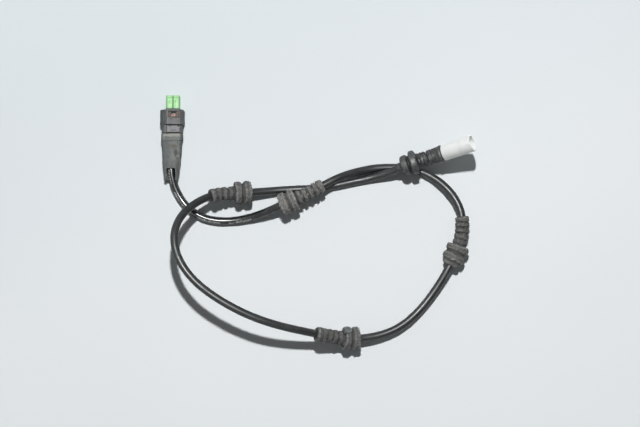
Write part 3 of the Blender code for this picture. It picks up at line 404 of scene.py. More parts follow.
def shader_groups():
    """Builds the surface effects that several materials share."""
    number = "NodeSocketFloat"
    vector = "NodeSocketVector"
    dust = Graph.group("Dust film", "ShaderNodeTree",
                       [("Scale", number, 250.0), ("Coverage", number, 0.5), ("Softness", number, 0.12),
                        ("Top bias", number, 0.4)],
                       [("Mask", number)])
    spot = dust.spot()
    broad = dust.noise(spot, dust.start["Scale"], 5.0, 0.62, 0.4)
    fine = dust.noise(spot, dust.times(dust.start["Scale"], 4.7), 3.0, 0.6)
    blend = dust.plus(dust.times(broad, 0.68), dust.times(fine, 0.32))
    edge = dust.minus(0.74, dust.times(dust.start["Coverage"], 0.48))
    mask = dust.ramp(blend, dust.minus(edge, dust.start["Softness"]),
                     dust.plus(edge, dust.start["Softness"]))
    facing = dust.parts(dust.node("ShaderNodeNewGeometry").outputs["Normal"])
    lift = dust.ramp(facing["Z"], -0.3, 0.9, dust.minus(1.0, dust.start["Top bias"]), 1.0)
    dust.feed(dust.end["Mask"], dust.math("MULTIPLY", mask, lift, clamp=True))

    grain = Graph.group("Skin grain", "ShaderNodeTree",
                        [("Scale", number, 1800.0), ("Pores", number, 0.4)], [("Height", number)])
    spot = grain.spot()
    rough = grain.noise(spot, grain.start["Scale"], 4.0, 0.6)
    cells = grain.node("ShaderNodeTexVoronoi", {"Vector": spot, "Scale": grain.start["Scale"]})
    pores = grain.times(grain.ramp(cells.outputs["Distance"], 0.0, 0.5), grain.start["Pores"])
    grain.feed(grain.end["Height"], grain.plus(rough, pores))

    # The first output is a mask of rubbed edge wear; the second is a mask of painted shade in the hollows.
    wear = Graph.group("Edge wear", "ShaderNodeTree",
                       [("Spread", number, 0.06), ("Scale", number, 500.0)],
                       [("Edges", number), ("Hollow shade", number)])
    spot = wear.spot()
    point = wear.node("ShaderNodeNewGeometry").outputs["Pointiness"]
    broken = wear.ramp(wear.noise(spot, wear.start["Scale"], 3.0, 0.6), 0.35, 0.62)
    edges = wear.ramp(point, 0.5, wear.plus(0.5, wear.start["Spread"]))
    # Painted shade: pointiness below the middle marks the hollows to darken.
    hollow_shade_mask = wear.ramp(point, 0.5, wear.minus(0.5, wear.start["Spread"]))
    wear.feed(wear.end["Edges"], wear.times(edges, broken))
    wear.feed(wear.end["Hollow shade"], hollow_shade_mask)

    scratch = Graph.group("Fine scratches", "ShaderNodeTree",
                          [("Scale", number, 120.0), ("Amount", number, 0.5)], [("Mask", number)])
    spot = scratch.spot()
    lines = []
    for turn, stretch in ((0.5, (1.0, 14.0, 3.0)), (-0.9, (16.0, 1.0, 3.0))):
        turned = scratch.node("ShaderNodeMapping", {"Vector": spot, "Rotation": (0.0, 0.0, turn),
                                                    "Scale": stretch}).outputs[0]
        lines.append(scratch.ramp(scratch.noise(turned, scratch.start["Scale"], 2.0, 0.5), 0.66, 0.72))
    both = scratch.math("MAXIMUM", lines[0], lines[1])
    scratch.feed(scratch.end["Mask"], scratch.times(both, scratch.start["Amount"]))

    patch = Graph.group("Ragged patch", "ShaderNodeTree",
                        [("Centre", vector, (0.0, 0.0, 0.0)), ("Half size", vector, (0.001, 0.001, 0.001)),
                         ("Ragged", number, 0.0003), ("Softness", number, 0.3), ("Square", number, 0.0)],
                        [("Mask", number)])
    spot = patch.spot()
    lumps = patch.node("ShaderNodeTexNoise", {"Vector": spot, "Scale": 700.0, "Detail": 3.0}).outputs["Color"]
    torn = patch.scaled(patch.vector("SUBTRACT", lumps, (0.5, 0.5, 0.5)),
                        patch.times(patch.start["Ragged"], 2.0))
    away = patch.vector("SUBTRACT", patch.vector("ADD", spot, torn), patch.start["Centre"])
    share = patch.vector("ABSOLUTE", patch.vector("DIVIDE", away, patch.start["Half size"]))
    parts = patch.parts(share)
    box = patch.math("MAXIMUM", parts["X"], patch.math("MAXIMUM", parts["Y"], parts["Z"]))
    ball = patch.node("ShaderNodeVectorMath", {0: share}, operation="LENGTH").outputs["Value"]
    far = patch.combined(patch.start["Square"], ball, box)
    patch.feed(patch.end["Mask"], patch.ramp(far, patch.plus(1.0, patch.start["Softness"]),
                                             patch.minus(1.0, patch.start["Softness"])))


def new_material(name):
    """Starts a material and gives its graph and its shader."""
    material = bpy.data.materials.new(name)
    material.use_nodes = True
    graph = Graph(material.node_tree)
    return material, graph, material.node_tree.nodes["Principled BSDF"]


def stain(at, half, colour, amount=1.0, ragged=0.4, soft=0.35, square=False):
    """Describes a stain or painted area, with its middle, half size and raggedness in millimetres."""
    return {"centre": [part * MM for part in at], "half_size": [part * MM for part in half], "colour": colour,
            "amount": amount, "ragged": ragged * MM, "softness": soft, "square": float(square)}


def add_patches(graph, colour, patches):
    """Lays stains and painted areas over a colour."""
    for patch in patches:
        shape = {key: patch[key] for key in ("centre", "half_size", "ragged", "softness", "square")}
        mask = graph.place("Ragged patch", **shape)["Mask"]
        colour = graph.colours(graph.times(mask, patch["amount"]), colour, patch["colour"])
    return colour


def add_grain(graph, shader, scale, strength, pores=0.4):
    """Gives a shader the fine grain as bump."""
    height = graph.place("Skin grain", scale=scale, pores=pores)
    relief = graph.node("ShaderNodeBump", {"Strength": strength, "Distance": 0.0002,
                                           "Height": height["Height"]})
    graph.feed(shader.inputs["Normal"], relief.outputs[0])


def worn_finish(name, clean, dusty, coverage, patch, rough=(0.5, 0.85), edge=None, edge_amount=0.5,
                grain_scale=1800.0, bump=0.25, patches=(), spread=0.05, metallic=0.0, hollow_shade=0.75):
    """Makes rubber, plastic or metal with a dust film, paler rubbed edges, painted shade in the hollows,
    stains and a fine grain.
    """
    material, graph, shader = new_material(name)
    dust = graph.place("Dust film", scale=1.0 / patch, coverage=coverage, top_bias=0.35)
    # This group gives the rubbed edges and the painted shade in the hollows.
    wear = graph.place("Edge wear", spread=spread, scale=0.6 / patch)
    colour = graph.colours(dust["Mask"], clean, dusty)
    colour = add_patches(graph, colour, patches)
    colour = graph.colours(graph.times(wear["Edges"], edge_amount), colour, edge or dusty)
    # Painted shade: the hollows are darkened towards a third of the clean colour.
    colour = graph.colours(graph.times(wear["Hollow shade"], hollow_shade), colour,
                           [part * 0.35 for part in clean])
    graph.feed(shader.inputs["Base Color"], colour)
    graph.feed(shader.inputs["Roughness"], graph.combined(dust["Mask"], rough[0], rough[1]))
    shader.inputs["Metallic"].default_value = metallic
    add_grain(graph, shader, grain_scale, bump)
    return material


def banded_rubber(name, clean, dusty, coverage, pale, edge_amount=0.5, streaks=0.5,
                  crevice_shade=(0.020, 0.020, 0.019), rough=(0.6, 0.92), bump=0.5):
    """Makes rubber with dust streaked round the sleeve, pale ridges that are rubbed and carry a painted
    highlight, and painted shade in the hollows.
    """
    material, graph, shader = new_material(name)
    spot = graph.spot()
    run = graph.times(graph.attribute("run"), 1500.0)
    around = graph.scaled(graph.attribute("section", "Vector"), 2.6)
    wrap = graph.vector("ADD", around, graph.node("ShaderNodeCombineXYZ", {"Z": run}).outputs[0])
    streak = graph.ramp(graph.noise(wrap, 1.0, 3.0, 0.6), 0.40, 0.62)
    dust = graph.place("Dust film", scale=300.0, coverage=coverage, softness=0.16, top_bias=0.3)
    caked = graph.times(dust["Mask"], graph.combined(streak, 1.0 - streaks, 1.0))
    colour = graph.colours(caked, clean, dusty)
    ridge = graph.attribute("ridge")
    mottle = graph.ramp(graph.noise(spot, 620.0, 4.0, 0.7), 0.36, 0.66, 0.55, 1.35)
    colour = graph.scaled(colour, mottle)
    # Pale ridges: rubbed wear together with a painted highlight on the crests, broken into specks.
    specks = graph.ramp(graph.noise(spot, 950.0, 3.0, 0.65), 0.42, 0.62)
    worn = graph.times(graph.ramp(ridge, 0.00002, 0.0003), specks)
    colour = graph.colours(graph.times(worn, edge_amount), colour, pale)
    # Painted shade: the rib hollows and the dips are darkened in patches towards the crevice colour.
    patchy_shade = graph.ramp(graph.noise(spot, 480.0, 2.0), 0.38, 0.62, 0.35, 1.0)
    valley = graph.ramp(graph.attribute("valley"), 0.25, 0.9)
    low = graph.math("MAXIMUM", graph.times(valley, patchy_shade), graph.ramp(ridge, -0.00012, -0.0005))
    colour = graph.colours(graph.times(low, 0.88), colour, crevice_shade)
    graph.feed(shader.inputs["Base Color"], colour)
    graph.feed(shader.inputs["Roughness"], graph.combined(caked, rough[0], rough[1]))
    add_grain(graph, shader, 2200.0, bump)
    return material


# Meshes

def smooth_route(points, spacing):
    """Reads evenly spaced points from a natural cubic spline through the route's points."""
    knots = np.array(points)
    chords = np.linalg.norm(np.diff(knots, axis=0), axis=1)
    count = len(knots)
    system = np.eye(count)
    target = np.zeros((count, 3))
    for i in range(1, count - 1):
        before = chords[i - 1]
        after = chords[i]
        system[i, i - 1:i + 2] = (before, 2 * (before + after), after)
        target[i] = 6 * ((knots[i + 1] - knots[i]) / after - (knots[i] - knots[i - 1]) / before)
    bends = np.linalg.solve(system, target)
    fine = []
    for i in range(count - 1):
        chord = chords[i]
        for t in np.linspace(0, chord, ROUTE_STEPS, endpoint=False):
            left = chord - t
            fine.append((bends[i] * left ** 3 + bends[i + 1] * t ** 3) / (6 * chord)
                        + (knots[i] / chord - bends[i] * chord / 6) * left
                        + (knots[i + 1] / chord - bends[i + 1] * chord / 6) * t)
    fine.append(knots[-1])
    fine = np.array(fine)
    travel = travelled(fine)
    stations = np.linspace(0, travel[-1], round(travel[-1] / spacing) + 1)
    return np.stack([np.interp(stations, travel, fine[:, k]) for k in range(3)], axis=1)


def travelled(points):
    """Gives the distance run at each of a row of points."""
    return np.concatenate([[0.0], np.cumsum(np.linalg.norm(np.diff(points, axis=0), axis=1))])


class Lead:
    """The cable's smooth middle line, read by distances along the solid cable."""

    def __init__(self, spacing=0.0005):
        self.points = smooth_route(ROUTE, spacing)
        self.travel = travelled(self.points)
        coarse = travelled(smooth_route(ROUTE, CAD_POINT_SPACING))
        self.solid = coarse
        self.share = np.linspace(0, self.travel[-1], len(coarse))

    @property
    def length(self):
        """Length of the middle line."""
        return float(self.travel[-1])

    def at(self, distances):
        """Finds places on the line at distances along the solid cable."""
        run = np.interp(distances, self.solid, self.share)
        return np.stack([np.interp(run, self.travel, self.points[:, k]) for k in range(3)], axis=1)

    def axes(self, distance):
        """Gives the place, the direction and the right-hand side at one distance."""
        reach = 0.0005
        near = self.at([distance - reach, distance, distance + reach])
        along = Vector(near[2] - near[0]).normalized()
        return Vector(near[1]), along, along.cross(Vector((0, 0, 1))).normalized()


def linked(name, data):
    """Makes an object of a mesh, curve, lamp or camera and adds it to the scene."""
    obj = bpy.data.objects.new(name, data)
    bpy.context.scene.collection.objects.link(obj)
    return obj


def guide_curve(name, places, radii):
    """Makes a row of points with a radius each, for a node tree to sweep a wall along."""
    curve = bpy.data.curves.new(name, "CURVE")
    curve.dimensions = "3D"
    curve.twist_mode = "Z_UP"
    spline = curve.splines.new("POLY")
    spline.points.add(len(places) - 1)
    for spot, place, radius in zip(spline.points, places, radii):
        spot.co = (*place, 1.0)
        spot.radius = radius
    return linked(name, curve)


def named_value(graph, geometry, name, value, kind="FLOAT"):
    """Stores a value on a geometry's points under a name."""
    made = graph.node("GeometryNodeStoreNamedAttribute", {"Geometry": geometry, "Name": name, "Value": value},
                      data_type=kind, domain="POINT")
    return made.outputs[0]


def stored_value(graph, name):
    """Reads a number that was stored on a geometry's points."""
    return graph.node("GeometryNodeInputNamedAttribute", {"Name": name}, data_type="FLOAT").outputs[0]


def uneven_relief(graph, spot):
    """Adds the two noises, dents and grain, that wear a surface uneven."""
    relief = []
    for depth, size, detail in (("Dent depth", "Dent size", 1.0), ("Grain depth", "Grain size", 3.0)):
        lumps = graph.noise(spot, graph.math("DIVIDE", 1.0, graph.start[size]), detail)
        swing = graph.times(graph.minus(lumps, 0.63), 2.0)
        relief.append(graph.times(swing, graph.start[depth]))
    return graph.plus(relief[0], relief[1])


def seeded(graph, spot):
    """Shifts the places that a noise reads by the piece's seed."""
    shift = graph.node("ShaderNodeCombineXYZ", {"X": graph.start["Seed"]}).outputs[0]
    return graph.vector("ADD", spot, shift)


def pushed_out(graph, geometry, push):
    """Moves every point out along its normal."""
    away = graph.scaled(graph.node("GeometryNodeInputNormal").outputs[0], push)
    return graph.node("GeometryNodeSetPosition", {"Geometry": geometry, "Offset": away}).outputs[0]


def kept_above(graph, geometry):
    """Keeps every point at or above the ground height."""
    parts = graph.parts(graph.node("GeometryNodeInputPosition").outputs[0])
    level = graph.math("MAXIMUM", parts["Z"], graph.start["Ground"])
    above = graph.node("ShaderNodeCombineXYZ", {"X": parts["X"], "Y": parts["Y"], "Z": level}).outputs[0]
    return graph.node("GeometryNodeSetPosition", {"Geometry": geometry, "Position": above}).outputs[0]


def finish_tree(graph, geometry):
    """Ends a tree: realizes instances, shades smooth and sets the material."""
    real = graph.node("GeometryNodeRealizeInstances", {"Geometry": geometry})
    smooth = graph.node("GeometryNodeSetShadeSmooth", {"Geometry": real.outputs[0]})
    named = graph.node("GeometryNodeSetMaterial", {"Geometry": smooth.outputs[0],
                                                   "Material": graph.start["Material"]})
    graph.feed(graph.end["Geometry"], named.outputs[0])


WEAR_SOCKETS = [("Dent depth", "NodeSocketFloat", 0.0006), ("Dent size", "NodeSocketFloat", 0.004),
                ("Grain depth", "NodeSocketFloat", 0.0002), ("Grain size", "NodeSocketFloat", 0.001),
                ("Seed", "NodeSocketFloat", 0.0), ("Ground", "NodeSocketFloat", 0.0001),
                ("Material", "NodeSocketMaterial", None)]


def sleeve_tree():
    """Sweeps a wall with a bore along a guide curve, sinks its ribs' hollows and wears it uneven."""
    number = "NodeSocketFloat"
    graph = Graph.group("Swept sleeve", "GeometryNodeTree",
                        [("Geometry", "NodeSocketGeometry", None), ("Bore radius", number, 0.0027),
                         ("Sides", "NodeSocketInt", 72), ("Rib start", number, 0.0036),
                         ("Rib pitch", number, 0.0034), ("Rib count", number, 4.0),
                         ("Rib depth", number, 0.0009)] + WEAR_SOCKETS,
                        [("Geometry", "NodeSocketGeometry")])
    start = graph.start
    radius = graph.node("GeometryNodeInputRadius").outputs[0]
    run = graph.node("GeometryNodeSplineParameter").outputs["Length"]
    along = graph.math("DIVIDE", graph.minus(run, start["Rib start"]), start["Rib pitch"])
    inside = graph.times(graph.math("GREATER_THAN", along, 0.0),
                         graph.math("LESS_THAN", along, start["Rib count"]))
    middle = graph.math("ABSOLUTE", graph.minus(graph.math("FRACT", along), 0.5))
    valley = graph.times(graph.ramp(middle, 0.22, 0.42), inside)
    even = graph.node("GeometryNodeBlurAttribute", {0: radius, "Iterations": 28},
                      data_type="FLOAT").outputs[0]
    guide = named_value(graph, start["Geometry"], "wall_radius", radius)
    guide = named_value(graph, guide, "valley", valley)
    guide = named_value(graph, guide, "ridge", graph.minus(radius, even))
    guide = named_value(graph, guide, "run", run)
    ring = graph.node("GeometryNodeCurvePrimitiveCircle", {"Resolution": start["Sides"], "Radius": 1.0})
    spot = graph.node("GeometryNodeInputPosition").outputs[0]
    section = named_value(graph, ring.outputs[0], "section", spot, "FLOAT_VECTOR")
    outer = graph.node("GeometryNodeCurveToMesh", {"Curve": guide, "Profile Curve": section, "Scale": radius})
    inner = graph.node("GeometryNodeCurveToMesh", {"Curve": start["Geometry"],
                                                   "Profile Curve": ring.outputs[0],
                                                   "Scale": start["Bore radius"]})
    shifted = seeded(graph, spot)
    above_bore = graph.minus(stored_value(graph, "wall_radius"), start["Bore radius"])
    hold = graph.ramp(above_bore, 0.0001, 0.0016)
    worn_ribs = graph.ramp(graph.noise(shifted, 420.0, 3.0), 0.36, 0.64, 0.25, 1.45)
    sunk = graph.times(graph.times(stored_value(graph, "valley"), worn_ribs), start["Rib depth"])
    relief = graph.times(uneven_relief(graph, shifted), hold)
    worn = pushed_out(graph, outer.outputs[0], graph.minus(relief, sunk))
    turned = graph.node("GeometryNodeFlipFaces", {"Mesh": inner.outputs[0]})
    joined = graph.node("GeometryNodeJoinGeometry")
    graph.feed(joined.inputs[0], worn)
    graph.feed(joined.inputs[0], turned.outputs[0])
    merged = graph.node("GeometryNodeMergeByDistance", {"Geometry": joined.outputs[0], "Distance": SEAM})
    finish_tree(graph, kept_above(graph, merged.outputs[0]))


def jacket_tree():
    """Sweeps the closed cable jacket and keeps the run and the place round it for the print."""
    number = "NodeSocketFloat"
    graph = Graph.group("Swept jacket", "GeometryNodeTree",
                        [("Geometry", "NodeSocketGeometry", None), ("Radius", number, 0.0026),
                         ("Sides", "NodeSocketInt", 48), ("Wave depth", number, 0.00005),
                         ("Wave size", number, 0.012), ("Material", "NodeSocketMaterial", None)],
                        [("Geometry", "NodeSocketGeometry")])
    start = graph.start
    run = graph.node("GeometryNodeSplineParameter").outputs["Length"]
    measured = named_value(graph, start["Geometry"], "run", run)
    ring = graph.node("GeometryNodeCurvePrimitiveCircle", {"Resolution": start["Sides"], "Radius": 1.0})
    spot = graph.node("GeometryNodeInputPosition").outputs[0]
    section = named_value(graph, ring.outputs[0], "section", spot, "FLOAT_VECTOR")
    tube = graph.node("GeometryNodeCurveToMesh", {"Curve": measured, "Fill Caps": True,
                                                  "Profile Curve": section, "Scale": start["Radius"]})
    lumps = graph.noise(spot, graph.math("DIVIDE", 1.0, start["Wave size"]), 2.0)
    push = graph.times(graph.minus(lumps, 0.5), start["Wave depth"])
    finish_tree(graph, pushed_out(graph, tube.outputs[0], push))


def skin_tree():
    """Softens a fine mesh's edges and wears its skin uneven."""
    graph = Graph.group("Worn skin", "GeometryNodeTree",
                        [("Geometry", "NodeSocketGeometry", None), ("Smoothing", "NodeSocketInt", 2)]
                        + WEAR_SOCKETS,
                        [("Geometry", "NodeSocketGeometry")])
    spot = graph.node("GeometryNodeInputPosition").outputs[0]
    even = graph.node("GeometryNodeBlurAttribute", {0: spot, "Iterations": graph.start["Smoothing"]},
                      data_type="FLOAT_VECTOR").outputs[0]
    softened = graph.node("GeometryNodeSetPosition", {"Geometry": graph.start["Geometry"], "Position": even})
    worn = pushed_out(graph, softened.outputs[0], uneven_relief(graph, seeded(graph, spot)))
    finish_tree(graph, kept_above(graph, worn))


def run_tree(obj, tree_name, **values):
    """Gives an object a node tree as modifier, with the named inputs set."""
    modifier = obj.modifiers.new(tree_name, "NODES")
    tree = bpy.data.node_groups[tree_name]
    modifier.node_group = tree
    found = {item.name: item.identifier for item in tree.interface.items_tree if item.in_out == "INPUT"}
    for key, value in values.items():
        modifier[found[key.replace("_", " ").capitalize()]] = value


def plain_mesh(obj, name):
    """Turns what an object shows into a plain mesh and removes the object."""
    depsgraph = bpy.context.evaluated_depsgraph_get()
    shown = obj.evaluated_get(depsgraph)
    mesh = bpy.data.meshes.new_from_object(shown, preserve_all_data_layers=True, depsgraph=depsgraph)
    mesh.name = name
    bpy.data.objects.remove(obj, do_unlink=True)
    return mesh


def closed_piece(name, mesh, material, replaced=()):
    """Checks that a mesh is closed, turns its faces outwards and adds it as a piece of the object."""
    work = bmesh.new()
    work.from_mesh(mesh)
    gaps = sum(1 for edge in work.edges if not edge.is_manifold)
    if gaps:
        raise RuntimeError(f"{name} has {gaps} open edges")
    if work.calc_volume(signed=True) < 0:
        bmesh.ops.reverse_faces(work, faces=work.faces)
    work.to_mesh(mesh)
    work.free()
    mesh.materials.clear()
    mesh.materials.append(material)
    obj = linked(name, mesh)
    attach(obj, BODY)
    if replaced:
        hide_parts(*replaced)


def dress_node(node, material):
    """Gives a solid of the frame its finish."""
    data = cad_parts[node].data
    data.materials.clear()
    data.materials.append(material)


def refined_copy(node, name, cell, cuts=(), **wear):
    """Copies a solid of the frame, carves small cuts, meshes it finely and wears its skin."""
    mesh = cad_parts[node].data.copy()
    work = bmesh.new()
    work.from_mesh(mesh)
    bmesh.ops.remove_doubles(work, verts=work.verts, dist=WELD)
    work.to_mesh(mesh)
    work.free()
    copy = linked(name + "_copy", mesh)
    cutters = []
    for i, (middle, size) in enumerate(cuts):
        cutter = linked(f"{name}_cut_{i}", rounded_block(middle, size))
        boolean = copy.modifiers.new("Cut", "BOOLEAN")
        boolean.operation = "DIFFERENCE"
        boolean.solver = "EXACT"
        boolean.object = cutter
        cutters.append(cutter)
    remesh = copy.modifiers.new("Fine mesh", "REMESH")
    remesh.mode = "VOXEL"
    remesh.voxel_size = cell
    run_tree(copy, "Worn skin", **wear)
    result = plain_mesh(copy, name)
    for cutter in cutters:
        bpy.data.objects.remove(cutter, do_unlink=True)
    return result


def finished_mesh(work, name):
    """Turns a bmesh into a named mesh and frees it."""
    mesh = bpy.data.meshes.new(name)
    work.to_mesh(mesh)
    work.free()
    return mesh


def rounded_block(middle, size, softness=0.25):
    """Makes a small block with bevelled edges."""
    work = bmesh.new()
    bmesh.ops.create_cube(work, size=1.0)
    bmesh.ops.scale(work, vec=Vector(size), verts=work.verts)
    bmesh.ops.bevel(work, geom=work.edges[:], offset=min(size) * softness, segments=2, affect="EDGES")
    bmesh.ops.translate(work, vec=Vector(middle), verts=work.verts)
    return finished_mesh(work, "block")


def turned_mesh(name, outline, sides, origin, axis):
    """Turns a closed outline of (radius, height) points about an axis through the origin."""
    turn = axis.to_track_quat("Z", "Y")
    angles = [2 * math.pi * i / sides for i in range(sides)]
    work = bmesh.new()
    rings = []
    for radius, height in outline:
        places = [Vector((radius * math.cos(angle), radius * math.sin(angle), height)) for angle in angles]
        rings.append([work.verts.new(origin + turn @ place) for place in places])
    for ring, after in zip(rings, rings[1:] + rings[:1]):
        for i in range(sides):
            j = (i + 1) % sides
            work.faces.new((ring[i], ring[j], after[j], after[i]))
    bmesh.ops.remove_doubles(work, verts=work.verts, dist=WELD)
    bare = [edge for edge in work.edges if not edge.link_faces]
    bmesh.ops.delete(work, geom=bare, context="EDGES")
    bmesh.ops.recalc_face_normals(work, faces=work.faces)
    mesh = finished_mesh(work, name)
    mesh.shade_smooth()
    return mesh


def arc(centre, radius, first, last, steps=5):
    """Gives points on a rounded edge, as (radius, height), between two angles in degrees."""
    angles = [math.radians(first + (last - first) * i / steps) for i in range(steps + 1)]
    return [(centre[0] + radius * math.cos(angle), centre[1] + radius * math.sin(angle)) for angle in angles]


def soft_outline(outline, step, softness):
    """Reads an outline of (distance, radius) points in even steps, with its corners rounded."""
    corners = np.array(outline)
    distances = np.arange(corners[0, 0], corners[-1, 0] + step / 2, step)
    radii = np.interp(distances, corners[:, 0], corners[:, 1])
    width = max(1, round(softness / step))
    window = np.hanning(width * 2 + 3)[1:-1]
    padded = np.pad(radii, width, mode="edge")
    return distances, np.convolve(padded, window / window.sum(), mode="valid")


def sleeve(name, lead, outline, sizes, **values):
    """Makes a rubber sleeve on the cable from an outline of (distance along the cable, radius) points."""
    distances, radii = soft_outline(outline, sizes.step, sizes.softness)
    ends = np.array([distances[0] - sizes.step / 4, distances[-1] + sizes.step / 4])
    distances = np.concatenate([ends[:1], distances, ends[1:]])
    radii = np.concatenate([[sizes.bore_radius], radii, [sizes.bore_radius]])
    guide = guide_curve(name + "_guide", lead.at(distances), radii)
    run_tree(guide, "Swept sleeve", bore_radius=sizes.bore_radius, sides=sizes.sides,
             dent_size=sizes.dent_size, grain_size=sizes.grain_size, **values)
    return plain_mesh(guide, name)


def rings_outline(start, rings, groove_radius, groove_width, softness):
    """Gives the outline of rings with grooves between them: each ring is a radius and a width."""
    points = []
    for i, (radius, width) in enumerate(rings):
        if i:
            points += [(start + softness / 4, groove_radius),
                       (start + groove_width - softness / 4, groove_radius)]
            start += groove_width
        end = start + width
        points += [(start, radius - softness), (start + softness, radius), (end - softness, radius),
                   (end, radius - softness)]
        start = end
    return points, start


def grommet_outline(sizes, tail, collar):
    """Gives a grommet's outer side from the end of its tail to its face, as (distance, radius) points."""
    soft = sizes.softness
    points = [(0.0, sizes.tail_radius - soft), (soft, sizes.tail_radius),
              (sizes.tail_band - soft / 2, sizes.tail_radius), (sizes.tail_band, sizes.rib_radius),
              (tail - soft / 2, sizes.rib_radius)]
    rings = ((sizes.ring_radius, sizes.first_ring), (sizes.ring_radius, sizes.second_ring))
    more, face = rings_outline(tail, rings, sizes.groove_radius, sizes.groove_width, soft)
    points += more
    if collar > 0:
        points += [(face + soft / 4, sizes.collar_radius), (face + collar - soft, sizes.collar_radius),
                   (face + collar, sizes.collar_radius - soft)]
    return points


def laid_out(outline, start, tail_first):
    """Moves an outline to its place along the cable, tail first or face first."""
    length = outline[-1][0]
    if tail_first:
        return [(start + distance, radius) for distance, radius in outline]
    return [(start + length - distance, radius) for distance, radius in reversed(outline)]


# Operators

class SENSOR_OT_stage(bpy.types.Operator):
    """Adds the table, the lamps, the pale surroundings and the camera"""

    bl_idname = "wear_sensor.stage"
    bl_label = "Add stage"

    def execute(self, context):
        settings = context.scene.sensor_stage
        self.add_floor(settings)
        self.add_lamps(settings)
        self.add_surroundings(settings)
        self.add_camera(settings)
        return {"FINISHED"}

    def add_floor(self, settings):
        """Lays a wide round table top, with painted shade that darkens its far side."""
        material, graph, shader = new_material("pale table")
        spot = graph.spot()
        parts = graph.parts(spot)
        reach = graph.minus(parts["Y"], graph.times(parts["X"], 0.35))
        # Painted shade: the table darkens towards its far side.
        far = graph.ramp(reach, -0.16, 0.10)
        mottle = graph.ramp(graph.noise(spot, 6.0, 2.0), 0.3, 0.7, 0.985, 1.0)
        colour = graph.colours(far, settings.floor_colour, settings.far_shade_colour)
        graph.feed(shader.inputs["Base Color"], graph.scaled(colour, mottle))
        shader.inputs["Roughness"].default_value = 0.8
        shader.inputs["Specular IOR Level"].default_value = 0.0
        work = bmesh.new()
        bmesh.ops.create_circle(work, cap_ends=True, segments=96, radius=settings.floor_radius)
        mesh = finished_mesh(work, "table")
        mesh.materials.append(material)
        linked("table", mesh)

    def add_lamps(self, settings):
        """Adds two lamps, even on the table: the key, which gloss doesn't see, and one for gloss alone."""
        lamps = (("key", settings.key_power, settings.key_place, settings.key_radius, True),
                 ("glint", settings.glint_power, settings.glint_place, settings.glint_radius, False))
        for name, power, place, radius, lights in lamps:
            data = bpy.data.lights.new(name, "POINT")
            data.energy = power
            data.shadow_soft_size = radius
            data.use_nodes = True
            graph = Graph(data.node_tree)
            even = graph.node("ShaderNodeLightFalloff", {"Strength": 1.0}).outputs["Constant"]
            graph.feed(data.node_tree.nodes["Emission"].inputs["Strength"], even)
            lamp = linked(name, data)
            lamp.location = place
            lamp.visible_diffuse = lights
            lamp.visible_transmission = lights
            lamp.visible_glossy = not lights

    def add_surroundings(self, settings):
        """Lights the object evenly and shows a pale room to the lens, to gloss and to clear plastic."""
        world = bpy.data.worlds.new("pale room")
        world.use_nodes = True
        bpy.context.scene.world = world
        graph = Graph(world.node_tree)
        back = world.node_tree.nodes["Background"]
        path = graph.node("ShaderNodeLightPath").outputs
        aim = graph.node("ShaderNodeTexCoord").outputs["Generated"]
        open_side = (-0.8, -0.6, 0.0)
        side = graph.node("ShaderNodeVectorMath", {0: aim, 1: open_side}, operation="DOT_PRODUCT")
        window = graph.ramp(side.outputs["Value"], -0.10, 0.12, settings.gloss_strength,
                            settings.window_strength)
        parts = graph.parts(aim)
        off_strip = graph.math("ABSOLUTE", graph.minus(parts["Z"], settings.strip_height))
        strip = graph.times(graph.math("LESS_THAN", off_strip, settings.strip_width / 2),
                            graph.math("GREATER_THAN", parts["Y"], 0.2))
        gloss = graph.plus(window, graph.times(strip, settings.strip_strength))
        strength = graph.combined(path["Is Glossy Ray"], settings.fill_strength, gloss)
        seen = graph.math("MAXIMUM", path["Is Camera Ray"], path["Is Transmission Ray"])
        back.inputs["Color"].default_value = (0.90, 0.92, 0.92, 1.0)
        graph.feed(back.inputs["Strength"], graph.combined(seen, strength, settings.room_strength))

    def add_camera(self, settings):
        """Places the camera almost straight above the table."""
        data = bpy.data.cameras.new("camera")
        data.lens = settings.lens
        camera = linked("camera", data)
        back = Vector((0, -math.cos(settings.camera_elevation), math.sin(settings.camera_elevation)))
        camera.location = Vector(settings.camera_target) + back * settings.camera_distance
        camera.rotation_euler = (math.radians(90) - settings.camera_elevation, 0.0, 0.0)
        bpy.context.scene.camera = camera
        bpy.context.scene.view_settings.view_transform = "Standard"


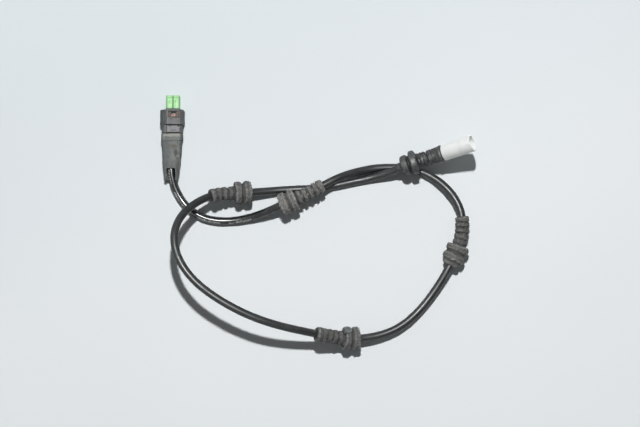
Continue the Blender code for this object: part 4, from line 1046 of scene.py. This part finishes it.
class SENSOR_OT_cable(bpy.types.Operator):
    """Sweeps the jacketed cable along its route and prints plain dashes on it"""

    bl_idname = "wear_sensor.cable"
    bl_label = "Add cable"

    def execute(self, context):
        sizes = context.scene.sensor_cable
        lead = Lead(sizes.ring_spacing)
        guide = guide_curve("cable_guide", lead.points, [1.0] * len(lead.points))
        run_tree(guide, "Swept jacket", radius=sizes.diameter / 2, sides=sizes.sides)
        mesh = plain_mesh(guide, "cable_jacket")
        closed_piece("cable_jacket", mesh, self.jacket(sizes), ["cable"])
        return {"FINISHED"}

    def steps(self, graph, run, pitch):
        """Gives how far the run is within its step, and a random number for the step."""
        cells = graph.math("DIVIDE", run, pitch)
        pick = graph.node("ShaderNodeTexWhiteNoise", {"W": graph.math("FLOOR", cells)}, noise_dimensions="1D")
        return graph.math("FRACT", cells), pick.outputs["Value"]

    def dashes(self, graph, sizes, run):
        """Gives the mask of the half worn print: short marks in groups on one side of a short stretch."""
        parts = graph.parts(graph.attribute("section", "Vector"))
        angle = graph.math("ARCTAN2", parts["X"], graph.times(parts["Y"], -1.0))
        turn = graph.math("WRAP", graph.minus(angle, sizes.print_angle), -math.pi, math.pi)
        across = graph.math("ABSOLUTE", graph.times(turn, sizes.diameter / 2))
        within, pick = self.steps(graph, run, sizes.mark_pitch)
        dash = graph.math("LESS_THAN", within, graph.plus(0.35, graph.times(pick, 0.3)))
        height = graph.plus(sizes.mark_height, graph.times(pick, sizes.mark_height_spread))
        word = graph.math("GREATER_THAN", self.steps(graph, run, sizes.word_pitch)[1], 0.25)
        band = graph.times(graph.math("LESS_THAN", across, height), word)
        inside = graph.times(graph.math("GREATER_THAN", run, sizes.print_start),
                             graph.math("LESS_THAN", run, sizes.print_end))
        marks = graph.times(graph.times(band, dash), inside)
        rubbed = graph.ramp(graph.noise(graph.spot(), 420.0, 4.0, 0.6), 0.34, 0.48)
        return graph.times(marks, rubbed)

    def jacket(self, sizes):
        """Makes the glossy black jacket with a thin haze, scuffs and worn print."""
        material, graph, shader = new_material("black cable jacket")
        run = graph.attribute("run")
        marks = self.dashes(graph, sizes, run)
        dust = graph.place("Dust film", scale=170.0, coverage=0.30, softness=0.14, top_bias=0.3)
        scratches = graph.place("Fine scratches", scale=420.0, amount=0.5)
        colour = graph.colours(graph.times(dust["Mask"], 0.5), sizes.jacket_colour,
                               sizes.haze_colour)
        colour = graph.colours(scratches["Mask"], colour, (0.07, 0.07, 0.07))
        colour = graph.colours(graph.times(marks, 0.9), colour, sizes.print_colour)
        graph.feed(shader.inputs["Base Color"], colour)
        far = graph.ramp(run, sizes.glossy_end - sizes.glossy_fade,
                         sizes.glossy_end + sizes.glossy_fade)
        rough = graph.combined(far, graph.combined(dust["Mask"], 0.24, 0.34),
                               graph.combined(dust["Mask"], 0.38, 0.62))
        graph.feed(shader.inputs["Roughness"], graph.combined(marks, rough, 0.6))
        add_grain(graph, shader, 1400.0, 0.05, 0.1)
        return material


class SENSOR_OT_grommets(bpy.types.Operator):
    """Makes the four dusty ribbed grommets and the knob on the third"""

    bl_idname = "wear_sensor.grommets"
    bl_label = "Add grommets"

    # Each grommet's dust, how much of it there is, the colour of its pale ridges, rubbed and with a painted
    # highlight, and how ragged it is
    TONES = {"grommet_1": ((0.190, 0.188, 0.178), 0.80, (0.42, 0.41, 0.39), 2.0),
             "grommet_2": ((0.142, 0.141, 0.132), 0.60, (0.40, 0.40, 0.38), 1.0),
             "grommet_3": ((0.128, 0.127, 0.122), 0.58, (0.42, 0.42, 0.41), 0.8),
             "grommet_4": ((0.132, 0.131, 0.124), 0.60, (0.38, 0.38, 0.37), 1.0)}

    def execute(self, context):
        sizes = context.scene.sensor_grommets
        lead = Lead()
        for name, facts in GROMMETS.items():
            dusty, coverage, pale, ragged = self.TONES[name]
            finish = banded_rubber("dusty rubber " + name[-1], (0.040, 0.041, 0.040), dusty, coverage, pale,
                                   edge_amount=0.65, streaks=0.45)
            flat = grommet_outline(sizes, facts["tail"], facts["collar"])
            outline = laid_out(flat, facts["start"], facts["tail_first"])
            ribs = facts["tail"] - sizes.tail_band
            count = max(1, int(ribs / sizes.rib_pitch))
            first = sizes.tail_band if facts["tail_first"] else flat[-1][0] - facts["tail"]
            mesh = sleeve("worn_" + name, lead, outline, sizes, rib_start=first, rib_pitch=ribs / count,
                          rib_count=float(count), rib_depth=sizes.rib_depth * ragged,
                          dent_depth=sizes.dent_depth, grain_depth=sizes.grain_depth * ragged,
                          seed=facts["seed"])
            closed_piece("worn_" + name, mesh, finish, [name])
        self.add_knob(sizes, lead)
        return {"FINISHED"}

    def add_knob(self, sizes, lead):
        """Stands the round knob on the third grommet's ring beside its tail."""
        middle = (GROMMETS["grommet_3"]["start"] + sizes.second_ring + sizes.groove_width
                  + sizes.first_ring * 0.7)
        place, along, right = lead.axes(middle)
        upward = Vector((0, 0, math.cos(sizes.knob_tilt))) + right * math.sin(sizes.knob_tilt)
        upward = (upward - along * upward.dot(along)).normalized()
        foot = sizes.groove_radius - sizes.ring_radius / 4
        top = sizes.ring_radius + sizes.knob_height
        radius = sizes.knob_radius
        dish = radius * 0.12
        outline = [(0.0, top - dish), (radius * 0.35, top - dish * 0.7), (radius * 0.62, top)]
        outline += arc((radius * 0.72, top - radius * 0.28), radius * 0.28, 90, 0, 6)
        outline += [(radius, foot), (0.0, foot)]
        mesh = turned_mesh("bracket_knob", outline, 64, place, upward)
        work = linked("bracket_knob_work", mesh)
        run_tree(work, "Worn skin", smoothing=1, dent_depth=0.00008, dent_size=0.0014, grain_depth=0.00003,
                 grain_size=0.0005, seed=2.0)
        finish = worn_finish("blue grey knob", (0.065, 0.078, 0.082), (0.120, 0.132, 0.134), 0.55, 0.002,
                             rough=(0.45, 0.8), edge=(0.40, 0.41, 0.41), bump=0.4)
        closed_piece("bracket_knob", plain_mesh(work, "bracket_knob"), finish)


class SENSOR_OT_plug_rubber(bpy.types.Operator):
    """Makes the black grommet and the flaring boot beside the plug"""

    bl_idname = "wear_sensor.plug_rubber"
    bl_label = "Add plug grommet and boot"

    def execute(self, context):
        sizes = context.scene.sensor_plug_rubber
        shared = context.scene.sensor_grommets
        lead = Lead()
        start = PLUG_GROMMET_START
        soft = shared.softness
        rings = ((sizes.small_ring_radius, sizes.small_ring), (sizes.big_ring_radius, sizes.big_ring))
        outline = [(0.0, sizes.sleeve_radius - soft / 3), (soft / 2, sizes.sleeve_radius),
                   (sizes.sleeve_length - soft / 4, sizes.sleeve_radius)]
        more, tail = rings_outline(sizes.sleeve_length, rings, sizes.groove_radius, sizes.groove_width, soft)
        end = tail + sizes.tail
        outline += more + [(tail + soft / 4, sizes.rib_radius), (end - soft, sizes.rib_radius),
                           (end, sizes.rib_radius - soft)]
        # Its crevice colour paints shade into the rib hollows.
        finish = banded_rubber("black plug rubber", (0.024, 0.026, 0.027), (0.085, 0.089, 0.088), 0.45,
                               (0.15, 0.152, 0.15), edge_amount=0.4, streaks=0.6, rough=(0.42, 0.8),
                               bump=0.25, crevice_shade=(0.006, 0.006, 0.006))
        wear = {"dent_depth": sizes.wear_depth, "grain_depth": sizes.wear_depth / 3,
                "rib_depth": sizes.rib_depth}
        mesh = sleeve("worn_grommet_5", lead, laid_out(outline, start, True), shared, rib_start=tail,
                      rib_pitch=sizes.tail / 3, rib_count=3.0, seed=41.0, **wear)
        closed_piece("worn_grommet_5", mesh, finish, ["grommet_5"])
        self.add_boot(sizes, shared, lead, start + end + SEAT_GAP, finish, wear)
        return {"FINISHED"}

    def add_boot(self, sizes, shared, lead, start, finish, wear):
        """Makes the boot that flares over the back of the plug."""
        soft = shared.softness
        length = float(lead.solid[-1]) - SEAL_LENGTH - 2 * SEAT_GAP - start
        flare = length - sizes.rim_width
        outline = [(0.0, sizes.boot_radius - soft), (soft, sizes.boot_radius),
                   (length * 0.35, sizes.boot_radius), (flare, sizes.rim_radius - soft / 2),
                   (flare + soft / 3, sizes.rim_radius), (length - soft / 2, sizes.rim_radius),
                   (length, sizes.rim_radius - soft / 2)]
        mesh = sleeve("worn_plug_boot", lead, laid_out(outline, start, True), shared, rib_start=length * 0.12,
                      rib_pitch=0.0026, rib_count=2.0, seed=47.0, **dict(wear, rib_depth=0.0002))
        closed_piece("worn_plug_boot", mesh, finish, ["plug_boot"])


class SENSOR_OT_plug(bpy.types.Operator):
    """Turns the white plug and finishes the pieces inside it"""

    bl_idname = "wear_sensor.plug"
    bl_label = "Add plug"

    def execute(self, context):
        sizes = context.scene.sensor_plug
        solid = [Vector(point) for point in smooth_route(ROUTE, CAD_POINT_SPACING)[-2:]]
        axis = (solid[1] - solid[0]).normalized()
        rear = solid[1] - axis * (SEAL_LENGTH + SEAT_GAP)
        body = turned_mesh("plug_work", self.outline(sizes), sizes.sides, rear, axis)
        shell = linked("plug_work", body)
        height = sizes.length - sizes.nub
        block = rounded_block((0.0, sizes.radius, height), (sizes.nub, sizes.nub_height * 2, sizes.nub), 0.18)
        block.transform(axis.to_track_quat("Z", "Y").to_matrix().to_4x4())
        block.transform(Matrix.Translation(rear))
        nub = linked("nub_work", block)
        joined = shell.modifiers.new("Nub", "BOOLEAN")
        joined.operation = "UNION"
        joined.solver = "EXACT"
        joined.object = nub
        mesh = plain_mesh(shell, "white_plug_shell")
        bpy.data.objects.remove(nub, do_unlink=True)
        mesh.shade_smooth()
        mesh.set_sharp_from_angle(angle=math.radians(32))
        white = self.white(sizes)
        closed_piece("white_plug_shell", mesh, white, ["plug_shell"])
        dress_node("plug_insert", white)
        pins = worn_finish("tinned pins", (0.62, 0.55, 0.38), (0.40, 0.36, 0.27), 0.35, 0.0015,
                           rough=(0.28, 0.5), metallic=1.0, grain_scale=5000.0, bump=0.1, hollow_shade=0.0)
        for number in (1, 2):
            dress_node(f"contact_pin_{number}", pins)
        dress_node("wire_seal", worn_finish("seal rubber", (0.050, 0.052, 0.050), (0.14, 0.135, 0.125), 0.4,
                                            0.002, hollow_shade=0.0))
        return {"FINISHED"}

    def outline(self, sizes):
        """Gives the shell's closed outline: outer side with its shallow band, then socket and bores."""
        radius = sizes.radius
        edge = sizes.edge
        lip = (radius - sizes.socket_radius) / 2
        middle = sizes.socket_radius + lip
        band_end = sizes.band_start + sizes.band_width
        ease = sizes.band_depth
        floor = sizes.length - sizes.socket_depth
        seal_end = SEAL_LENGTH + SEAT_GAP
        outline = arc((radius - edge, edge), edge, -90, 0)
        outline += [(radius, sizes.band_start - ease), (radius - ease, sizes.band_start),
                    (radius - ease, band_end), (radius, band_end + ease)]
        outline += arc((middle, sizes.length - lip), lip, 0, 180, 10)
        outline += [(sizes.socket_radius, floor), (sizes.insert_radius, floor),
                    (sizes.insert_radius, seal_end), (sizes.seal_radius, seal_end), (sizes.seal_radius, 0.0)]
        return outline

    def white(self, sizes):
        """Makes the white plastic: soft gloss, faint flow marks, a little grey dirt and painted grey shade in
        its hollows.
        """
        material, graph, shader = new_material("white plug plastic")
        dirt = graph.place("Dust film", scale=260.0, coverage=0.22, softness=0.16, top_bias=0.0)
        scratches = graph.place("Fine scratches", scale=520.0, amount=0.22)
        # Only this group's hollow mask is used here, to paint grey shade into the hollows.
        wear = graph.place("Edge wear", spread=0.05, scale=700.0)
        colour = graph.colours(graph.times(dirt["Mask"], 0.30), sizes.colour, (0.56, 0.57, 0.55))
        colour = graph.colours(graph.times(wear["Hollow shade"], 0.2), colour, (0.60, 0.61, 0.60))
        colour = graph.colours(scratches["Mask"], colour, (0.60, 0.60, 0.59))
        graph.feed(shader.inputs["Base Color"], colour)
        graph.feed(shader.inputs["Roughness"], graph.combined(dirt["Mask"], 0.32, 0.55))
        shader.inputs["Subsurface Weight"].default_value = 0.5
        shader.inputs["Subsurface Radius"].default_value = (0.003, 0.003, 0.003)
        add_grain(graph, shader, 1500.0, 0.05, 0.1)
        return material


class SENSOR_OT_nose(bpy.types.Operator):
    """Makes the clear green nose and finishes the wire loops in its cells"""

    bl_idname = "wear_sensor.nose"
    bl_label = "Add nose"

    def execute(self, context):
        settings = context.scene.sensor_head
        mesh = refined_copy("sensing_nose", "green_nose", settings.nose_cell, smoothing=2, dent_depth=0.00007,
                            dent_size=0.0016, grain_depth=0.00003, grain_size=0.0005, seed=5.0)
        closed_piece("green_nose", mesh, self.green(settings), ["sensing_nose"])
        copper = worn_finish("copper loop", (0.72, 0.34, 0.18), (0.30, 0.16, 0.09), 0.3, 0.001,
                             rough=(0.3, 0.55), metallic=1.0, grain_scale=5000.0, bump=0.1, hollow_shade=0.0)
        for number in (1, 2):
            dress_node(f"wear_loop_{number}", copper)
        return {"FINISHED"}

    def green(self, settings):
        """Makes the clear green plastic: bright cells, darker walls and divider, painted highlights low on
        the cells, painted shade along the tip and over the part inside the housing, and fine scuffs.
        """
        material, graph, shader = new_material("clear green plastic")
        dark = (0.16, 0.38, 0.17)
        bright = (0.66, 0.98, 0.58)
        patches = [stain((x, 23.8, 7.0), (1.6, 5.2, 4.0), settings.cell_colour, 0.9, 0.2, 0.22, True)
                   for x in (-1.4, 2.9)]
        patches += [stain((0.7, 23.8, 9.2), (0.42, 5.6, 1.2), dark, 0.75, 0.1, 0.4, True),
                    stain((-1.9, 24.6, 9.2), (0.3, 1.0, 0.5), dark, 0.7, 0.1),
                    stain((2.3, 25.0, 9.2), (0.3, 1.0, 0.5), dark, 0.7, 0.1),
                    # Painted shade along the tip's edge.
                    stain((0.7, 27.8, 9.2), (4.0, 0.3, 1.0), dark, 0.55, 0.2, square=True),
                    # Painted highlights on the two cells.
                    stain((-1.0, 22.2, 9.2), (0.7, 2.2, 2.0), bright, 0.8, 0.2, 0.4, True),
                    stain((3.4, 22.2, 9.2), (0.7, 2.2, 2.0), bright, 0.8, 0.2, 0.4, True),
                    # Painted shade over the part of the nose inside the housing, under its slot.
                    stain((0.5, 15.0, 8.0), (9.0, 5.4, 8.0), (0.022, 0.044, 0.034), 1.0, 0.1, 0.1, True)]
        colour = add_patches(graph, settings.nose_colour, patches)
        dirt = graph.place("Dust film", scale=700.0, coverage=0.34, softness=0.10, top_bias=0.2)
        colour = graph.colours(graph.times(dirt["Mask"], 0.35), colour, (0.27, 0.42, 0.24))
        scratches = graph.place("Fine scratches", scale=900.0, amount=0.4)
        colour = graph.colours(scratches["Mask"], colour, (0.62, 0.86, 0.55))
        graph.feed(shader.inputs["Base Color"], colour)
        graph.feed(shader.inputs["Roughness"], graph.combined(dirt["Mask"], 0.50, 0.65))
        shader.inputs["Specular IOR Level"].default_value = 0.12
        shader.inputs["Transmission Weight"].default_value = 0.25
        shader.inputs["IOR"].default_value = 1.45
        add_grain(graph, shader, 2600.0, 0.12, 0.2)
        return material


class SENSOR_OT_clip(bpy.types.Operator):
    """Makes the clip housing, its red insert and marks, the collar and the latch tongue"""

    bl_idname = "wear_sensor.clip"
    bl_label = "Add clip housing and collar"

    def execute(self, context):
        settings = context.scene.sensor_head
        wear = {"smoothing": 2, "dent_depth": 0.00010, "dent_size": 0.0022, "grain_depth": 0.00004,
                "grain_size": 0.0006}
        notches = (((-0.0010, 0.0088, 0.0126), (0.0015, 0.0010, 0.0016)),
                   ((0.0048, 0.0089, 0.0126), (0.0011, 0.0008, 0.0014)),
                   ((-0.0053, 0.0140, 0.0112), (0.0014, 0.0070, 0.0007)))
        housing = refined_copy("head_housing", "clip_housing", settings.clip_cell, notches, seed=7.0, **wear)
        closed_piece("clip_housing", housing, self.plastic(settings, "dusty clip plastic", self.stains()),
                     ["head_housing"])
        grey = self.plastic(settings, "dusty collar plastic", self.collar_stains())
        collar = refined_copy("rear_collar", "step_collar", settings.clip_cell, seed=9.0, **wear)
        closed_piece("step_collar", collar, grey, ["rear_collar"])
        tongue = refined_copy("latch_tongue", "worn_tongue", settings.clip_cell * 0.7, seed=13.0,
                              **dict(wear, dent_depth=0.00006))
        latch = worn_finish("purplish grey latch", (0.125, 0.125, 0.135), (0.235, 0.235, 0.245), 0.62, 0.0030,
                            rough=(0.45, 0.8), edge=(0.34, 0.34, 0.35), bump=0.4, patches=self.latch_stains())
        closed_piece("worn_tongue", tongue, latch, ["latch_tongue"])
        # Painted shade in the slot over the insert.
        slot_shade = stain((1.7, 16.8, 10.0), (6.0, 0.9, 6.0), (0.018, 0.012, 0.010), 1.0, 0.1, 0.1, True)
        red = worn_finish("red insert", (0.20, 0.045, 0.025), (0.17, 0.085, 0.062), 0.46, 0.0012,
                          rough=(0.4, 0.75), edge=(0.26, 0.10, 0.065), bump=0.3, hollow_shade=0.0, patches=[slot_shade])
        dress_node("lock_insert", red)
        self.add_pips(settings)
        return {"FINISHED"}

    def plastic(self, settings, name, patches):
        """Makes the black plastic under its grey dust."""
        return worn_finish(name, settings.housing_colour, settings.housing_dust, 0.62, 0.0026,
                           rough=(0.42, 0.82), edge=(0.27, 0.28, 0.27), edge_amount=0.55, bump=0.4,
                           patches=patches)

    def stains(self):
        """Places the marks on the housing's top: brown window sides, painted shade on the flanks and along
        the front edge, a pale edge and more.
        """
        brown = (0.118, 0.082, 0.072)
        # Colour of the painted shade on the flanks.
        flank_shade = (0.058, 0.066, 0.067)
        black = (0.03, 0.03, 0.03)
        return [stain((-1.8, 16.0, 11.8), (1.7, 2.4, 1.2), brown, 0.8, 0.5, square=True),
                stain((4.6, 15.8, 11.8), (1.8, 2.5, 1.2), brown, 0.8, 0.5, square=True),
                stain((1.3, 13.8, 12.2), (4.6, 0.6, 0.8), (0.045, 0.042, 0.040), 0.7, 0.4, square=True),
                # Painted shade along the front edge, tinted by the green nose.
                stain((1.3, 18.4, 11.5), (6.0, 0.8, 1.6), (0.045, 0.066, 0.058), 0.7, 0.3, square=True),
                # Painted shade on the left flank; the right one is the last mark.
                stain((-5.6, 14.0, 10.0), (2.7, 6.6, 6.0), (0.050, 0.058, 0.059), 0.85, 0.2, 0.08, True),
                stain((-2.7, 13.0, 11.0), (0.25, 6.2, 3.0), (0.200, 0.205, 0.198), 0.7, 0.1, 0.3, True),
                stain((-0.4, 12.8, 11.8), (0.85, 0.85, 1.0), black, 0.8, 0.1, 0.4),
                stain((4.6, 11.1, 11.8), (0.90, 0.90, 1.0), black, 0.85, 0.1, 0.4),
                stain((7.5, 14.0, 10.0), (1.4, 6.2, 6.0), flank_shade, 0.7, 0.2, 0.10, True)]

    def collar_stains(self):
        """Places the painted shade that darkens the collar's two shoulders."""
        return [stain((side * 6.6, 6.0, 10.0), (1.4, 3.4, 3.0), (0.060, 0.066, 0.066), 0.6, 0.6, square=True)
                for side in (-1, 1)]

    def latch_stains(self):
        """Places the painted shade in the latch's two notches and its worn rear."""
        dark = (0.02, 0.02, 0.02)
        # Painted shade where the two notches open over the latch.
        return [stain((5.0, 7.9, 11.4), (1.0, 0.7, 1.0), dark, 1.0, 0.2),
                stain((-0.9, 8.0, 11.4), (1.0, 0.6, 1.0), dark, 0.8, 0.2),
                stain((1.2, 4.8, 11.4), (2.2, 0.7, 1.0), (0.10, 0.098, 0.10), 0.6)]

    def add_pips(self, settings):
        """Raises the two small round marks behind the window."""
        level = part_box("head_housing")[1][2]
        dark = worn_finish("pip plastic", (0.045, 0.050, 0.050), (0.13, 0.13, 0.128), 0.45, 0.001, bump=0.3,
                           edge=(0.30, 0.30, 0.29))
        for number, (x, y) in enumerate(((-0.0004, 0.0128), (0.0046, 0.0111)), 1):
            name = f"housing_pip_{number}"
            outline = [(0.0, -0.0003), (0.0006, -0.0003)] + arc((0.00048, 0.00004), 0.00012, 0, 90, 4)
            outline += [(0.00032, 0.00010), (0.00022, 0.00002), (0.0, 0.00001)]
            mesh = turned_mesh(name, outline, 32, Vector((x, y, level - 0.0001)), Vector((0, 0, 1)))
            closed_piece(name, mesh, dark)


class SENSOR_OT_head_boot(bpy.types.Operator):
    """Makes the dusty tapered boot behind the collar"""

    bl_idname = "wear_sensor.head_boot"
    bl_label = "Add head boot"

    def execute(self, context):
        settings = context.scene.sensor_head
        mesh = refined_copy("head_boot", "dusty_head_boot", settings.boot_cell, smoothing=3,
                            dent_depth=0.00030, dent_size=0.0034, grain_depth=0.00010, grain_size=0.0009,
                            seed=17.0)
        # Painted shade that darkens the boot's two sides.
        side = {"half": (1.4, 17.0, 12.0), "colour": (0.052, 0.058, 0.060), "amount": 0.75, "ragged": 0.9,
                "soft": 0.5}
        patches = [stain((0.0, 1.8, 9.0), (6.6, 1.2, 6.0), (0.30, 0.305, 0.275), 1.0, 1.1, 0.3, True),
                   stain((7.2, -6.0, 8.0), **side), stain((-7.0, -8.0, 8.0), **side),
                   stain((-3.5, -11.0, 9.0), (2.6, 12.0, 5.0), (0.082, 0.094, 0.100), 0.8, 1.0),
                   stain((0.6, -27.0, 8.0), (8.0, 7.0, 7.0), (0.078, 0.084, 0.083), 0.7, 1.6, 0.6),
                   stain((4.0, -19.0, 9.0), (1.2, 7.5, 4.0), (0.060, 0.064, 0.062), 0.7, 0.8, 0.4),
                   stain((1.9, -6.0, 11.2), (2.2, 1.3, 2.0), (0.095, 0.082, 0.058), 0.8, 0.7),
                   stain((3.0, -10.5, 10.6), (1.3, 2.4, 2.0), (0.042, 0.044, 0.042), 0.8, 0.7),
                   stain((4.5, -12.8, 10.0), (1.2, 0.6, 2.0), (0.25, 0.25, 0.23), 0.8, 0.5),
                   stain((1.6, -14.5, 10.4), (1.6, 0.6, 2.0), (0.22, 0.22, 0.205), 0.7, 0.6)]
        rubber = worn_finish("scuffed boot rubber", settings.boot_colour, settings.boot_dust, 0.60, 0.0038,
                             rough=(0.6, 0.92), edge=(0.30, 0.305, 0.285), edge_amount=0.6,
                             grain_scale=2000.0, bump=0.6, patches=patches, spread=0.04, hollow_shade=0.1)
        closed_piece("dusty_head_boot", mesh, rubber, ["head_boot"])
        return {"FINISHED"}


class SENSOR_OT_hidden(bpy.types.Operator):
    """Finishes the carrier, resistor, crimps and cores inside the head"""

    bl_idname = "wear_sensor.hidden"
    bl_label = "Finish hidden pieces"

    def execute(self, context):
        carrier = worn_finish("carrier plastic", (0.040, 0.042, 0.043), (0.10, 0.10, 0.10), 0.3, 0.002,
                              hollow_shade=0.0)
        dress_node("contact_carrier", carrier)
        lacquer = worn_finish("resistor lacquer", (0.26, 0.17, 0.085), (0.38, 0.30, 0.20), 0.3, 0.001,
                              rough=(0.3, 0.6), hollow_shade=0.0)
        dress_node("stage_resistor", lacquer)
        crimp = worn_finish("tinned crimps", (0.62, 0.58, 0.44), (0.36, 0.33, 0.26), 0.3, 0.001,
                            rough=(0.28, 0.5), metallic=1.0, hollow_shade=0.0)
        core = worn_finish("brown core insulation", (0.30, 0.13, 0.045), (0.36, 0.22, 0.12), 0.25, 0.002,
                           rough=(0.35, 0.6), hollow_shade=0.0)
        for number in (1, 2):
            dress_node(f"crimp_ferrule_{number}", crimp)
            dress_node(f"core_wire_{number}", core)
        return {"FINISHED"}


class SENSOR_PT_panel(bpy.types.Panel):
    """Lists the pieces of the wear sensor"""

    bl_label = "Wear sensor"
    bl_idname = "SENSOR_PT_panel"
    bl_space_type = "VIEW_3D"
    bl_region_type = "UI"
    bl_category = "Wear sensor"

    def draw(self, context):
        for operator in OPERATORS:
            self.layout.operator(operator.bl_idname)
        for settings in SETTINGS:
            group = getattr(context.scene, settings)
            for name in group.__annotations__:
                self.layout.prop(group, name)


SETTINGS = {"sensor_cable": CableSizes, "sensor_grommets": GrommetSizes,
            "sensor_plug_rubber": PlugRubberSizes, "sensor_plug": PlugSizes, "sensor_head": HeadSettings,
            "sensor_stage": StageSettings}
OPERATORS = (SENSOR_OT_stage, SENSOR_OT_cable, SENSOR_OT_grommets, SENSOR_OT_plug_rubber, SENSOR_OT_plug,
             SENSOR_OT_nose, SENSOR_OT_clip, SENSOR_OT_head_boot, SENSOR_OT_hidden)


def register():
    """Registers the classes and hangs the settings on the scene."""
    for settings in SETTINGS.values():
        bpy.utils.register_class(settings)
    for operator in OPERATORS:
        bpy.utils.register_class(operator)
    bpy.utils.register_class(SENSOR_PT_panel)
    for name, settings in SETTINGS.items():
        setattr(bpy.types.Scene, name, PointerProperty(type=settings))


def unregister():
    """Takes the settings and the classes away again."""
    for name in SETTINGS:
        delattr(bpy.types.Scene, name)
    bpy.utils.unregister_class(SENSOR_PT_panel)
    for operator in reversed(OPERATORS):
        bpy.utils.unregister_class(operator)
    for settings in reversed(list(SETTINGS.values())):
        bpy.utils.unregister_class(settings)


def declare_cord():
    """Reads the cable's middle line and gathers the pieces that sit on it, and goes no further."""
    lead = Lead()
    pieces = [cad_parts[name] for name in ("plug_insert", "contact_pin_1", "contact_pin_2", "wire_seal")]
    pieces += [bpy.data.objects["worn_" + name] for name in GROMMETS]
    pieces += [bpy.data.objects[name] for name in ("bracket_knob", "worn_grommet_5", "worn_plug_boot",
                                                   "white_plug_shell")]


def main():
    """Makes the dressed sensor."""
    register()
    shader_groups()
    sleeve_tree()
    jacket_tree()
    skin_tree()
    for operator in OPERATORS:
        group, name = operator.bl_idname.split(".")
        getattr(getattr(bpy.ops, group), name)()
    declare_cord()


if __name__ == "__main__":
    main()
